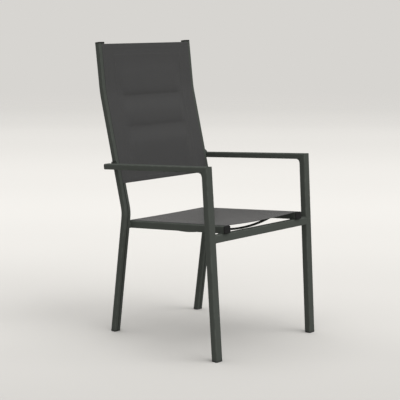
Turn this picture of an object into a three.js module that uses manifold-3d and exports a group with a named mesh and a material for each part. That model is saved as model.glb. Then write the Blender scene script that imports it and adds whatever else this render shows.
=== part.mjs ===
// Sling patio chair: a welded aluminium frame with a padded high back and a tensioned seat.
// Millimetres, +Z up. The sitter faces -Y, the sitter's left is +X, and the origin is on the floor
// under the middle of the chair's outline.

import * as THREE from 'three';
import { mergeVertices } from 'three/addons/utils/BufferGeometryUtils.js';
import Module from 'manifold-3d';

const wasm = await Module();
wasm.setup();

// Clearances and facets
const weldGap = 0.3;              // between two tubes that are welded to each other
const seatGap = 0.3;              // between a plug, lid or fabric and what it sits on
const overrun = 20;               // how far a cutter reaches past what it cuts
const cornerSegments = 3;
const bendStep = Math.PI / 32;    // largest turn of one facet of a bent tube
const rowSpacing = 2;             // smallest distance between two rows of a swept panel
const sameHeight = 1e-6;

// Uprights: one bent extrusion each, rear leg below and back stile above
const rearFootY = 244.4;          // where the leg's centre line meets the floor
const kneeY = 177.6;
const kneeZ = 469.3;
const kneeRadius = 120;
const backBendY = 291;
const backBendZ = 912.1;
const backBendRadius = 300;
const uprightTopY = 313;
const uprightTopZ = 1092;
const uprightSpan = 491;          // between the outer faces of the two uprights
const uprightWidth = 30;
const uprightDepth = 23;

// The keder slot that both extrusions share
const extrusionCorner = 4;
const extrusionWall = 1.8;
const slotMouth = 3;
const slotLip = 2.2;              // thickness of the wall that the mouth goes through
const channelRadius = 3.8;
const channelWall = 1.4;
const channelSegments = 8;

// Seat frame, tilted back as a whole
const frameTilt = THREE.MathUtils.degToRad(4.55);
const seatHeight = 447.9;         // top of the rails above the origin
const railWidth = 31.5;
const railHeight = 26.3;
const railOverhang = 8.2;         // of the rails' front ends past the front crossbar
const railRearReach = 195;
const crossbarHeight = 28.4;
const rearBarDepth = 20;
const rearBarHeight = 17;
const rearBarDrop = 9;            // from the rails' top to the rear bar's top
const rearBarReach = 168;

// Front legs and arms
const legWidth = 31;
const legDepth = 25.5;
const armThickness = 20.5;
const armTilt = THREE.MathUtils.degToRad(3.8);
const armHeight = 212.8;          // from the rails' top to the front corners, square to the seat
const frontLegReach = 283.8;      // from the origin to the front corners, along the seat
const armTail = 18.3;             // from the uprights' centre lines to the arm tubes' rear ends
const armSpan = 571.3;            // across the arms at the front corner
const frontFootSpan = 557.8;      // across the front legs at the floor
const tubeCorner = 4;
const tubeWall = 1.8;
const cornerFillet = 11;          // hollow of the welded corner under each arm
const filletTip = 0.8;
const filletInset = 1.2;
const filletSegments = 5;

// Plastic lids and glides
const lidThickness = 5;
const lidLip = 0.3;
const lidRound = 1.8;
const plugLength = 16;
const glideStand = 7;             // from the floor to the tube's end, along the tube
const glideRound = 1.8;

// Curved spreader bars
const spreaderThickness = 8;
const spreaderWidth = 16;
const spreaderFacets = 12;
const spreaderSectionFacets = 12;
const frontSpreaderReach = 194;
const frontSpreaderDrop = 13;     // from the rails' top to the bar's ends
const frontSpreaderBow = 24;
const middleSpreaderSetback = 4;  // behind the origin
const middleSpreaderDrop = 19.2;
const middleSpreaderBow = 36;
const lowerBackSpreaderZ = 640;
const upperBackSpreaderZ = 1015;
const backSpreaderBow = 26;
const plateLength = 36;
const plateHeight = 12;
const plateThickness = 3;
const plateCorner = 3;
const screwSpacing = 24;
const screwRadius = 2.3;
const screwHole = 2.6;
const screwLength = 9;
const screwHeadRadius = 4.2;
const screwHeadHeight = 2.6;
const screwHeadEdge = 1.4;
const screwFacets = 10;

// Slings
const fabric = 1;
const kederRodRadius = 1.9;
const kederSlack = 0.45;          // from the rod to the fabric that wraps it
const hookEnd = THREE.MathUtils.degToRad(120);
const hookFacets = 6;
const tongueOffset = 0.7;         // the fabric runs on the outer side of the mouth
const foldRadius = 0.9;
const rodFacets = 8;
const backTopZ = 1089;
const upperSeamZ = 892;
const lowerSeamZ = 776;
const padTopZ = 1047;
const padBottomZ = 591;
const backBottomZ = 573.2;
const padWidth = 354;
const padFrontCrown = 9;
const padRearCrown = 5.5;
const padEdge = 0.9;              // half the padding's thickness where it is stitched through
const padMargin = 7;              // where the two panels come together round the padding
const rearPanelInset = 3.5;       // from the uprights' inner faces to the rear panel's sides
const seatFrontSag = 4.5;
const seatRearSag = 1;
const seatSag = 6;               // further, halfway along
const seatEndGap = 0.5;           // from the rails' lids to the fabric's edges

// Shares across half the padding, and along each of its three sections
const padColumnShares = [0, 0.36, 0.66, 0.87, 1];
const padRowShares = [0.07, 0.28, 0.72, 0.93];
const seatColumnShares = [0, 0.35, 0.7, 1];
const seatRowShares = [0, 0.1, 0.3, 0.55, 0.8, 1];

// Places that follow from the sizes above
const uprightX = (uprightSpan - uprightWidth) / 2;
const uprightOuterX = uprightSpan / 2;
const uprightInnerX = uprightOuterX - uprightWidth;
const railX = uprightInnerX - weldGap - railWidth / 2;
const railInnerX = railX - railWidth / 2;
const legTopX = (armSpan - legWidth) / 2;
const legFootX = (frontFootSpan - legWidth) / 2;
const armPitch = frameTilt - armTilt;              // of the arms, up from the rails
const crossbarTop = -railHeight - weldGap;
const crossbarBottom = crossbarTop - crossbarHeight;
const crossbarMiddle = (crossbarTop + crossbarBottom) / 2;
const crossbarY = -frontLegReach + (armHeight - crossbarMiddle) * Math.tan(armPitch);
const railFrontY = crossbarY - legDepth / 2 - railOverhang + lidThickness;
const railRearY = railRearReach - lidThickness;
const channelDepth = slotLip + channelRadius;      // from the slotted face to the channel's centre
const hookRadius = kederRodRadius + kederSlack + fabric / 2;
const fabricRise = seatGap + fabric / 2;           // from the slotted face to the fabric's middle
const seatFrontY = railFrontY + seatEndGap;
const seatRearY = railRearY - seatEndGap;

// Materials
const finish = (color, roughness, metalness = 0) => () =>
  new THREE.MeshStandardMaterial({ color, roughness, metalness });
const powderCoat = finish(0x43463f, 0.55, 0.4);
const blackPlastic = finish(0x1c1d1c, 0.6);
const slingFabric = finish(0x4b4b4b, 0.85);
const paddingFoam = finish(0x8c8c88, 0.95);
const kederPlastic = finish(0xb9b9b4, 0.5);
const screwSteel = finish(0x8d9092, 0.35, 0.9);

// Keeps only merged positions, without the triangles that a lathe leaves flat on its axis.
function closed(geometry) {
  const bare = geometry.clone();
  for (const name of Object.keys(bare.attributes)) {
    if (name !== 'position') bare.deleteAttribute(name);
  }
  const merged = mergeVertices(bare);
  const corners = merged.index.array;
  const kept = [];
  for (let i = 0; i < corners.length; i += 3) {
    const [a, b, c] = corners.slice(i, i + 3);
    if (a !== b && b !== c && c !== a) kept.push(a, b, c);
  }
  merged.setIndex(kept);
  return merged;
}

function toSolid(geometry) {
  const merged = closed(geometry);
  return new wasm.Manifold(new wasm.Mesh({
    numProp: 3,
    vertProperties: new Float32Array(merged.attributes.position.array),
    triVerts: new Uint32Array(merged.index.array),
  }));
}

function toGeometry(solid) {
  const mesh = solid.getMesh();
  const geometry = new THREE.BufferGeometry();
  geometry.setAttribute('position', new THREE.BufferAttribute(mesh.vertProperties, 3));
  geometry.setIndex(new THREE.BufferAttribute(mesh.triVerts, 1));
  return geometry;
}

const cut = (geometry, cutters) =>
  toGeometry(cutters.reduce((solid, cutter) => solid.subtract(toSolid(cutter)), toSolid(geometry)));

const join = (geometry, others) =>
  toGeometry(others.reduce((solid, other) => solid.add(toSolid(other)), toSolid(geometry)));

// The same shape on the other side of the chair.
function mirrored(geometry) {
  const flipped = closed(geometry);
  flipped.scale(-1, 1, 1);
  flipped.setIndex(Array.from(flipped.index.array).reverse());
  return flipped;
}

// Outline of a rectangle with round corners, anticlockwise from the middle of its right side.
function roundedOutline(width, height, radius) {
  const points = [];
  const signs = [[1, 1], [-1, 1], [-1, -1], [1, -1]];
  signs.forEach(([signU, signV], quarter) => {
    for (let i = 0; i <= cornerSegments; i++) {
      const angle = (quarter + i / cornerSegments) * Math.PI / 2;
      points.push(new THREE.Vector2(
        signU * (width / 2 - radius) + radius * Math.cos(angle),
        signV * (height / 2 - radius) + radius * Math.sin(angle),
      ));
    }
  });
  return points;
}

const roundedShape = (width, height, radius) => new THREE.Shape(roundedOutline(width, height, radius));

// Section of a plain tube: width along u, height along v.
function tubeShape(width, height) {
  const shape = roundedShape(width, height, tubeCorner);
  const bore = roundedOutline(width - 2 * tubeWall, height - 2 * tubeWall, tubeCorner - tubeWall);
  shape.holes.push(new THREE.Path(bore));
  return shape;
}

// Section of an extrusion whose +v face has the keder slot, with a bore that goes round the channel.
function slottedShape(width, height) {
  const outline = roundedOutline(width, height, extrusionCorner);
  const centreV = height / 2 - channelDepth;
  const mouthAngle = Math.acos(slotMouth / 2 / channelRadius);
  const slot = [new THREE.Vector2(slotMouth / 2, height / 2)];
  for (let i = 0; i <= channelSegments; i++) {
    const angle = mouthAngle - (Math.PI + 2 * mouthAngle) * i / channelSegments;
    const point = new THREE.Vector2(channelRadius * Math.cos(angle), channelRadius * Math.sin(angle));
    slot.push(point.setY(point.y + centreV));
  }
  slot.push(new THREE.Vector2(-slotMouth / 2, height / 2));
  outline.splice(cornerSegments + 1, 0, ...slot);
  const boreU = width / 2 - extrusionWall;
  const boreV = height / 2 - extrusionWall;
  const notchU = channelRadius + channelWall;
  const notchV = centreV - channelRadius - channelWall;
  const shape = new THREE.Shape(outline);
  shape.holes.push(new THREE.Path([
    new THREE.Vector2(-boreU, -boreV),
    new THREE.Vector2(boreU, -boreV),
    new THREE.Vector2(boreU, boreV),
    new THREE.Vector2(notchU, boreV),
    new THREE.Vector2(notchU, notchV),
    new THREE.Vector2(-notchU, notchV),
    new THREE.Vector2(-notchU, boreV),
    new THREE.Vector2(-boreU, boreV),
  ]));
  return shape;
}

// Extrudes a section through a row of frames. Each frame's matrix carries u, v and the way along.
function sweep(shape, frames, reshape = () => {}) {
  const steps = frames.length - 1;
  const geometry = new THREE.ExtrudeGeometry(shape, { depth: steps, steps, bevelEnabled: false });
  const position = geometry.attributes.position;
  const point = new THREE.Vector3();
  for (let i = 0; i < position.count; i++) {
    const frame = frames[Math.round(position.getZ(i))];
    point.set(position.getX(i), position.getY(i), 0);
    reshape(point, frame);
    point.applyMatrix4(frame.matrix);
    position.setXYZ(i, point.x, point.y, point.z);
  }
  return closed(geometry);
}

// A frame at a point of the YZ plane. u is +X, the way along is (0, alongY, alongZ), v is square to both.
function frameAt(y, z, alongY, alongZ) {
  const u = new THREE.Vector3(1, 0, 0);
  const along = new THREE.Vector3(0, alongY, alongZ).normalize();
  const v = new THREE.Vector3().crossVectors(along, u);
  const matrix = new THREE.Matrix4().makeBasis(u, v, along);
  matrix.setPosition(0, y, z);
  return { matrix };
}

// Frames of a straight piece that runs from the rear to the front, with v up.
const forwardFrames = (places) => places.map((y) => frameAt(y, 0, -1, 0));

// Frames of a straight piece that runs across, from -X to +X, with u towards the rear and v up.
function acrossFrames(halfLength) {
  return [-halfLength, halfLength].map((x) => {
    const axes = [new THREE.Vector3(0, 1, 0), new THREE.Vector3(0, 0, 1), new THREE.Vector3(1, 0, 0)];
    return { matrix: new THREE.Matrix4().makeBasis(...axes).setPosition(x, 0, 0) };
  });
}

// The uprights' centre line, from the top down to the floor, with its two bends rounded in facets
function roundedBend(before, corner, after, radius) {
  const inward = before.clone().sub(corner).normalize();
  const outward = after.clone().sub(corner).normalize();
  const turn = Math.PI - inward.angleTo(outward);
  const toTangent = radius * Math.tan(turn / 2);
  const bisector = inward.clone().add(outward).normalize();
  const centre = corner.clone().addScaledVector(bisector, radius / Math.cos(turn / 2));
  const first = corner.clone().addScaledVector(inward, toTangent).sub(centre);
  const last = corner.clone().addScaledVector(outward, toTangent).sub(centre);
  const sense = Math.sign(first.cross(last));
  const facets = Math.ceil(turn / bendStep);
  return Array.from({ length: facets + 1 }, (_, i) =>
    first.clone().rotateAround(new THREE.Vector2(), sense * turn * i / facets).add(centre));
}

const topPoint = new THREE.Vector2(uprightTopY, uprightTopZ);
const backBendPoint = new THREE.Vector2(backBendY, backBendZ);
const kneePoint = new THREE.Vector2(kneeY, kneeZ);
const rearFootPoint = new THREE.Vector2(rearFootY, 0);
const uprightLine = [
  topPoint,
  ...roundedBend(topPoint, backBendPoint, kneePoint, backBendRadius),
  ...roundedBend(backBendPoint, kneePoint, rearFootPoint, kneeRadius),
  rearFootPoint,
];
const rearLegWay = rearFootPoint.clone().sub(kneePoint).normalize();

// The frame on the centre line at a height: square to the line, or halfway round at one of its corners.
function uprightFrame(z) {
  const next = uprightLine.findIndex((point) => point.y < z + sameHeight && point !== topPoint);
  const last = next < 0 ? uprightLine.length - 1 : next;
  const start = uprightLine[last - 1];
  const end = uprightLine[last];
  const way = end.clone().sub(start).normalize();
  const atCorner = Math.abs(end.y - z) < sameHeight && last < uprightLine.length - 1;
  const point = start.clone().lerp(end, (start.y - z) / (start.y - end.y));
  if (atCorner) way.add(uprightLine[last + 1].clone().sub(end).normalize());
  return { ...frameAt(point.x, point.y, way.x, way.y), height: z };
}

const uprightPoint = (z) => new THREE.Vector3().setFromMatrixPosition(uprightFrame(z).matrix);

// Frames from one height down to another, with the line's own corners between them.
function uprightFrames(heights) {
  const corners = uprightLine.map((point) => point.y);
  const inside = corners.filter((z) => z < heights[0] && z > heights.at(-1));
  const clear = inside.filter((z) => heights.every((height) => Math.abs(height - z) > rowSpacing));
  return [...heights, ...clear].sort((a, b) => b - a).map(uprightFrame);
}

// A lid with a round edge over the end of a tube, and a plug below it in the tube's bore.
// It stands on +Z, with the tube's end at z = 0.
function endLid(width, height, [plugWidth, plugHeight, plugV], lip = lidLip) {
  const layers = [
    { z: seatGap, inset: lidRound / 3 },
    { z: seatGap + lidRound / 3, inset: 0 },
    { z: lidThickness - lidRound, inset: 0 },
    { z: lidThickness - lidRound / 3, inset: lidRound / 3 },
    { z: lidThickness, inset: lidRound },
  ];
  const lidWidth = width + 2 * lip;
  const lidHeight = height + 2 * lip;
  const shape = roundedShape(lidWidth, lidHeight, tubeCorner + lip);
  const frames = layers.map(({ z, inset }) => ({
    inset,
    matrix: new THREE.Matrix4().setPosition(0, 0, z),
  }));
  const lid = sweep(shape, frames, (point, { inset }) => {
    point.x *= 1 - 2 * inset / lidWidth;
    point.y *= 1 - 2 * inset / lidHeight;
  });
  const plug = new THREE.ExtrudeGeometry(roundedShape(plugWidth, plugHeight, extrusionWall), {
    depth: plugLength + lidThickness / 2,
    bevelEnabled: false,
  });
  plug.translate(0, plugV, -plugLength);
  return join(lid, [plug]);
}

// Plugs as [width, height, offset along v]: one fits a plain tube, the other the part of a slotted
// extrusion's bore away from its channel. The slot is on the side that slotSide says.
function tubePlug(width, height) {
  const clearance = 2 * (tubeWall + seatGap);
  return [width - clearance, height - clearance, 0];
}

function slottedPlug(width, height, slotSide) {
  const low = -height / 2 + extrusionWall + seatGap;
  const high = height / 2 - channelDepth - channelRadius - channelWall - seatGap;
  return [width - 2 * (extrusionWall + seatGap), high - low, slotSide * (high + low) / 2];
}

// A glide under the end of a leg, with a plug in the tube's bore. The leg's end is at z = 0 and the
// floor below it, square to the given direction, so the glide stands flat however the leg leans.
function footGlide(width, height, [plugWidth, plugHeight, plugV], up) {
  const floorZ = (u, v) => -glideStand - (up.x * u + up.y * v) / up.z;
  const outerWidth = width + 2 * lidLip;
  const outerHeight = height + 2 * lidLip;
  const layers = [
    { share: 0, rise: 0, inset: glideRound },
    { share: 0, rise: glideRound / 3, inset: glideRound / 3 },
    { share: 0, rise: glideRound, inset: 0 },
    { share: 1, rise: -seatGap - lidRound / 3, inset: 0 },
    { share: 1, rise: -seatGap, inset: lidRound / 3 },
  ];
  const shape = roundedShape(outerWidth, outerHeight, tubeCorner + lidLip);
  const frames = layers.map((layer) => ({ ...layer, matrix: new THREE.Matrix4() }));
  const flange = sweep(shape, frames, (point, { share, rise, inset }) => {
    point.x *= 1 - 2 * inset / outerWidth;
    point.y *= 1 - 2 * inset / outerHeight;
    point.z = (1 - share) * floorZ(point.x, point.y) + rise;
  });
  const plug = new THREE.ExtrudeGeometry(roundedShape(plugWidth, plugHeight, extrusionWall), {
    depth: plugLength + glideStand / 2,
    bevelEnabled: false,
  });
  plug.translate(0, plugV, -glideStand / 2);
  return join(flange, [plug]);
}

// A bar bowed down between two end plates, across X, with the plates' middles at z = 0.
function spreader(halfSpan, bow) {
  const reach = halfSpan - plateThickness / 2;
  const radius = (reach * reach + bow * bow) / (2 * bow);
  const halfAngle = Math.asin(reach / radius);
  const section = new THREE.Shape(
    Array.from({ length: spreaderSectionFacets }, (_, i) => {
      const angle = 2 * Math.PI * i / spreaderSectionFacets;
      return new THREE.Vector2(
        spreaderWidth / 2 * Math.cos(angle),
        spreaderThickness / 2 * Math.sin(angle),
      );
    }),
  );
  const frames = Array.from({ length: spreaderFacets + 1 }, (_, i) => {
    const angle = halfAngle * (2 * i / spreaderFacets - 1);
    const way = new THREE.Vector3(Math.cos(angle), 0, Math.sin(angle));
    const width = new THREE.Vector3(0, 1, 0);
    const up = new THREE.Vector3().crossVectors(way, width);
    const matrix = new THREE.Matrix4().makeBasis(width, up, way);
    matrix.setPosition(radius * Math.sin(angle), 0, radius * (1 - Math.cos(angle)) - bow);
    return { matrix };
  });
  const plates = [-1, 1].map((side) => {
    const plate = new THREE.ExtrudeGeometry(roundedShape(plateLength, plateHeight, plateCorner), {
      depth: plateThickness,
      bevelEnabled: false,
    });
    plate.applyMatrix4(acrossFrames(0)[0].matrix);
    plate.translate(side < 0 ? -halfSpan : halfSpan - plateThickness, 0, 0);
    return plate;
  });
  return cut(join(sweep(section, frames), plates), [...screwHoles(-halfSpan), ...screwHoles(halfSpan)]);
}

// Holes along X for the two screws at one end of a spreader.
function screwHoles(x) {
  return [-screwSpacing / 2, screwSpacing / 2].map((place) => {
    const hole = new THREE.CylinderGeometry(screwHole, screwHole, overrun, screwFacets);
    return hole.rotateZ(Math.PI / 2).translate(x, place, 0);
  });
}

// A button-head screw along +Y, with its head over y = 0.
function buttonScrew() {
  const profile = [
    new THREE.Vector2(0, -screwLength),
    new THREE.Vector2(screwRadius, -screwLength),
    new THREE.Vector2(screwRadius, seatGap),
    new THREE.Vector2(screwHeadRadius, seatGap),
    new THREE.Vector2(screwHeadRadius, seatGap + screwHeadEdge),
    new THREE.Vector2(screwHeadRadius - screwHeadEdge, seatGap + screwHeadHeight),
    new THREE.Vector2(0, seatGap + screwHeadHeight),
  ];
  return closed(new THREE.LatheGeometry(profile, screwFacets));
}

// Fabric and keder sections

// A strip of fabric: its middle line given the fabric's thickness.
function ribbon(middle) {
  const edge = (side) => middle.map((point, i) => {
    const before = i > 0 ? point.clone().sub(middle[i - 1]).normalize() : null;
    const after = i < middle.length - 1 ? middle[i + 1].clone().sub(point).normalize() : before;
    const way = before ? before.clone().add(after).normalize() : after;
    const reach = fabric / 2 / Math.max(way.dot(after), Math.SQRT1_2);
    return new THREE.Vector2(point.x - side * way.y * reach, point.y + side * way.x * reach);
  });
  return new THREE.Shape([...edge(-1), ...edge(1).reverse()]);
}

// One side of a sling, from the middle outwards: across the columns, over the inner half of the slotted
// face, down through the mouth and round the keder rod.
function hookedHalf(columns, slotU, faceV) {
  const rise = faceV + fabricRise;
  const centreV = faceV - channelDepth;
  const tongueU = slotU + tongueOffset;
  const flat = columns.map((u) => new THREE.Vector2(u, rise));
  const fold = [0, 0.5, 1].map((share) => {
    const angle = (1 - share) * Math.PI / 2;
    return new THREE.Vector2(
      tongueU - foldRadius + foldRadius * Math.cos(angle),
      rise - foldRadius + foldRadius * Math.sin(angle),
    );
  });
  const start = Math.acos(tongueOffset / hookRadius);
  const sweepAngle = 2 * Math.PI + start - hookEnd;
  const hook = Array.from({ length: hookFacets + 1 }, (_, i) => {
    const angle = start - sweepAngle * i / hookFacets;
    return new THREE.Vector2(slotU + hookRadius * Math.cos(angle), centreV + hookRadius * Math.sin(angle));
  });
  return [...flat, ...fold, ...hook];
}

// The whole middle line of a strip, from its right half.
function bothSides(half) {
  const other = half.filter((point) => point.x > 0).map((point) => new THREE.Vector2(-point.x, point.y));
  return [...other.reverse(), ...half];
}

// How far the padding swells, from 0 where it is stitched to 1 at a section's crown.
const padBands = [
  [padTopZ, upperSeamZ],
  [upperSeamZ, lowerSeamZ],
  [lowerSeamZ, padBottomZ],
];

function swell(u, z) {
  const band = padBands.find(([top, bottom]) => z <= top && z >= bottom);
  if (!band || Math.abs(u) >= padWidth / 2) return 0;
  const along = (2 * z - band[0] - band[1]) / (band[0] - band[1]);
  const across = 2 * u / padWidth;
  return Math.sqrt((1 - along ** 4) * (1 - across ** 4));
}

const insidePad = (u, z) => Math.abs(u) <= padWidth / 2 && z <= padTopZ && z >= padBottomZ;
const padRows = padBands.flatMap(([top, bottom]) => [
  top,
  ...padRowShares.map((share) => THREE.MathUtils.lerp(top, bottom, share)),
]);
const backRows = [backTopZ, ...padRows, padBottomZ, backBottomZ];
const padColumns = padColumnShares.map((share) => share * padWidth / 2);
const frontFaceV = uprightDepth / 2;

// The back's front panel, swelling forwards over the padding.
function backFrontPanel() {
  const columns = [...padColumns, padWidth / 2 + padMargin];
  const half = hookedHalf(columns, uprightX, frontFaceV);
  return sweep(ribbon(bothSides(half)), uprightFrames(backRows), (point, { height }) => {
    if (insidePad(point.x, height)) point.y += padEdge + padFrontCrown * swell(point.x, height);
  });
}

// The back's rear panel, swelling backwards between the uprights.
function backRearPanel() {
  const columns = [...padColumns, padWidth / 2 + padMargin, uprightInnerX - rearPanelInset];
  const half = columns.map((u) => new THREE.Vector2(u, frontFaceV - fabric / 2));
  return sweep(ribbon(bothSides(half)), uprightFrames(backRows), (point, { height }) => {
    if (insidePad(point.x, height)) point.y -= padEdge + padRearCrown * swell(point.x, height);
  });
}

// The padding between the panels, stitched through along two channels. It is mirrored, so that its
// facets lie along those of the panels' inner sides.
function backPadding() {
  const front = frontFaceV + padEdge;
  const rear = frontFaceV - padEdge + seatGap;
  const across = bothSides(padColumns.map((u) => new THREE.Vector2(u, 0)));
  const outline = [
    ...across.map((point) => new THREE.Vector2(point.x, rear)),
    ...across.map((point) => new THREE.Vector2(point.x, front)).reverse(),
  ];
  const frames = uprightFrames([...padRows, padBottomZ]);
  const padding = sweep(new THREE.Shape(outline), frames, (point, { height }) => {
    const crown = swell(point.x, height);
    point.y += point.y > frontFaceV ? padFrontCrown * crown : -padRearCrown * crown;
  });
  return mirrored(padding);
}

// The seat: one layer of fabric between the rails, sagging a little in the middle.
function seatPanel() {
  const hollow = (u) => Math.max(0, 1 - (u / railInnerX) ** 2);
  const half = hookedHalf(seatColumnShares.map((share) => share * railInnerX), railX, 0);
  half.forEach((point) => point.setY(point.y - seatRearSag * hollow(point.x)));
  const places = seatRowShares.map((share) => THREE.MathUtils.lerp(seatRearY, seatFrontY, share));
  const frames = forwardFrames(places).map((frame, i) => ({
    ...frame,
    sag: (seatFrontSag - seatRearSag) * seatRowShares[i] + seatSag * Math.sin(Math.PI * seatRowShares[i]),
  }));
  return sweep(ribbon(bothSides(half)), frames, (point, { sag }) => {
    point.y -= sag * hollow(point.x);
  });
}

// A keder rod, which the hem of a sling wraps inside a channel.
function kederRod(frames, v) {
  const shape = new THREE.Shape(Array.from({ length: rodFacets }, (_, i) => {
    const angle = 2 * Math.PI * i / rodFacets;
    return new THREE.Vector2(kederRodRadius * Math.cos(angle), kederRodRadius * Math.sin(angle) + v);
  }));
  return sweep(shape, frames);
}

// Assembly
const chair = new THREE.Group();
const seatFrame = new THREE.Group();
seatFrame.position.z = seatHeight;
seatFrame.rotation.x = -frameTilt;
chair.add(seatFrame);

function place(parent, name, geometry, material, [x, y, z] = [0, 0, 0]) {
  const mesh = new THREE.Mesh(geometry, material);
  mesh.name = name;
  mesh.position.set(x, y, z);
  parent.add(mesh);
  return mesh;
}

const sides = [
  { name: 'left', sign: 1, handed: (geometry) => geometry },
  { name: 'right', sign: -1, handed: mirrored },
];

// A spreader with two screws at each end, in a group of its own.
function placeSpreader(parent, name, halfSpan, bow) {
  const group = new THREE.Group();
  parent.add(group);
  place(group, name, spreader(halfSpan, bow), powderCoat());
  for (const { name: side, sign } of sides) {
    [-screwSpacing / 2, screwSpacing / 2].forEach((y, i) => {
      const spot = [sign * (halfSpan - plateThickness), y, 0];
      const screw = place(group, `${name}_screw_${side}_${i + 1}`, buttonScrew(), screwSteel(), spot);
      screw.rotation.z = sign * Math.PI / 2;
    });
  }
  return group;
}

// Uprights, with holes in their inner walls for the back spreaders' screws
const upwards = new THREE.Matrix4().makeBasis(
  new THREE.Vector3(1, 0, 0),
  new THREE.Vector3(0, -1, 0),
  new THREE.Vector3(0, 0, -1),
);
const tubeFootPoint = rearFootPoint.clone().addScaledVector(rearLegWay, -glideStand);
const backSpreaderHeights = { lower: lowerBackSpreaderZ, upper: upperBackSpreaderZ };
const backHalfSpan = uprightInnerX - weldGap;

// Turns a spreader so that it bows to the rear at a height of the back.
function backSpreaderMatrix(z) {
  const frame = uprightFrame(z).matrix;
  const axes = [new THREE.Vector3(), new THREE.Vector3(), new THREE.Vector3()];
  frame.extractBasis(...axes);
  const matrix = new THREE.Matrix4().makeBasis(axes[0], axes[2].clone().negate(), axes[1]);
  return matrix.copyPosition(frame);
}

const uprightHoles = Object.values(backSpreaderHeights).flatMap((z) => {
  const holes = screwHoles(uprightInnerX);
  return holes.map((hole) => hole.applyMatrix4(backSpreaderMatrix(z)).translate(-uprightX, 0, 0));
});

const uprightBody = sweep(
  slottedShape(uprightWidth, uprightDepth),
  [...uprightLine.slice(0, -1).map((point) => uprightFrame(point.y)), uprightFrame(tubeFootPoint.y)],
);
const upright = cut(uprightBody, uprightHoles);
const uprightPlug = slottedPlug(uprightWidth, uprightDepth, -1);
const uprightLid = endLid(uprightWidth, uprightDepth, uprightPlug);
uprightLid.applyMatrix4(upwards);
uprightLid.applyMatrix4(uprightFrame(uprightTopZ).matrix);

const rearFootFrame = uprightFrame(tubeFootPoint.y).matrix.clone().multiply(upwards);
const rearUp = new THREE.Vector3(0, 0, 1).transformDirection(rearFootFrame.clone().invert());
const rearGlide = footGlide(uprightWidth, uprightDepth, uprightPlug, rearUp);
rearGlide.applyMatrix4(rearFootFrame);

for (const { name, sign, handed } of sides) {
  const spot = [sign * uprightX, 0, 0];
  place(chair, `upright_${name}`, handed(upright), powderCoat(), spot);
  place(chair, `upright_top_cap_${name}`, uprightLid, blackPlastic(), spot);
  place(chair, `rear_foot_glide_${name}`, rearGlide, blackPlastic(), spot);
}

for (const [name, z] of Object.entries(backSpreaderHeights)) {
  const group = placeSpreader(chair, `back_spreader_${name}`, backHalfSpan, backSpreaderBow);
  group.applyMatrix4(backSpreaderMatrix(z));
}

// Seat rails, slotted on top, with holes in their inner walls for the seat spreaders' screws
const seatSpreaders = [
  { name: 'front', y: -frontSpreaderReach, drop: frontSpreaderDrop, bow: frontSpreaderBow },
  { name: 'middle', y: middleSpreaderSetback, drop: middleSpreaderDrop, bow: middleSpreaderBow },
];
const seatHalfSpan = railInnerX - weldGap;
const railShape = slottedShape(railWidth, railHeight);
const railFrames = forwardFrames([railRearY, railFrontY]);
const railBody = sweep(railShape, railFrames).translate(0, 0, -railHeight / 2);
const railHoles = seatSpreaders.flatMap(({ y, drop }) =>
  screwHoles(railInnerX).map((hole) => hole.translate(-railX, y, -drop)));
const rail = cut(railBody, railHoles);
const railFrontLid = endLid(railWidth, railHeight, slottedPlug(railWidth, railHeight, 1));
railFrontLid.applyMatrix4(frameAt(railFrontY, -railHeight / 2, -1, 0).matrix);
const railRearLid = endLid(railWidth, railHeight, slottedPlug(railWidth, railHeight, -1), 0);
railRearLid.applyMatrix4(frameAt(railRearY, -railHeight / 2, 1, 0).matrix);

for (const { name, sign, handed } of sides) {
  const spot = [sign * railX, 0, 0];
  place(seatFrame, `seat_rail_${name}`, handed(rail), powderCoat(), spot);
  place(seatFrame, `seat_rail_front_cap_${name}`, railFrontLid, blackPlastic(), spot);
  place(seatFrame, `seat_rail_rear_cap_${name}`, railRearLid, blackPlastic(), spot);
}

for (const { name, y, drop, bow } of seatSpreaders) {
  placeSpreader(seatFrame, `seat_spreader_${name}`, seatHalfSpan, bow).position.set(0, y, -drop);
}

// Front legs and arms: an L-shaped frame on each side, mitred at the front corner. Its own origin is at
// the top of that corner, over the leg's centre line; it leans in to the floor and in to the uprights.
const cornerY = armHeight * Math.sin(frameTilt) - frontLegReach * Math.cos(frameTilt);
const cornerZ = seatHeight + armHeight * Math.cos(frameTilt) + frontLegReach * Math.sin(frameTilt);
const legDrop = cornerZ / Math.cos(armTilt);
const legLean = Math.atan((legTopX - legFootX) / legDrop);
const legLength = legDrop / Math.cos(legLean) - glideStand;
const armToUpright = (uprightPoint(seatHeight + armHeight).y - cornerY) / Math.cos(armTilt);
const armLength = armToUpright + armTail;
const armInset = legTopX - legWidth / 2 - weldGap - uprightOuterX;
const armToe = Math.asin(armInset / (armToUpright + uprightDepth / 2));

// A block on one side of the mitre, from the outer corner to the inner one.
function mitreBlock(side) {
  const outer = new THREE.Vector2(-legDepth / 2, 0);
  const inner = new THREE.Vector2(legDepth / 2, -armThickness);
  const way = inner.clone().sub(outer).normalize();
  const square = new THREE.Vector2(-way.y, way.x).multiplyScalar(side);
  const from = outer.clone().addScaledVector(way, -overrun).addScaledVector(square, -weldGap / 2);
  const to = inner.clone().addScaledVector(way, overrun).addScaledVector(square, -weldGap / 2);
  const far = legDepth + armThickness + overrun;
  const away = square.clone().multiplyScalar(far);
  return yzPrism([from, to, to.clone().add(away), from.clone().add(away)], legWidth + 2 * overrun);
}

// A prism across X from an outline in the YZ plane.
function yzPrism(outline, width) {
  const prism = new THREE.ExtrudeGeometry(new THREE.Shape(outline), { depth: width, bevelEnabled: false });
  return prism.translate(0, 0, -width / 2).applyMatrix4(acrossFrames(0)[0].matrix);
}

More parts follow.
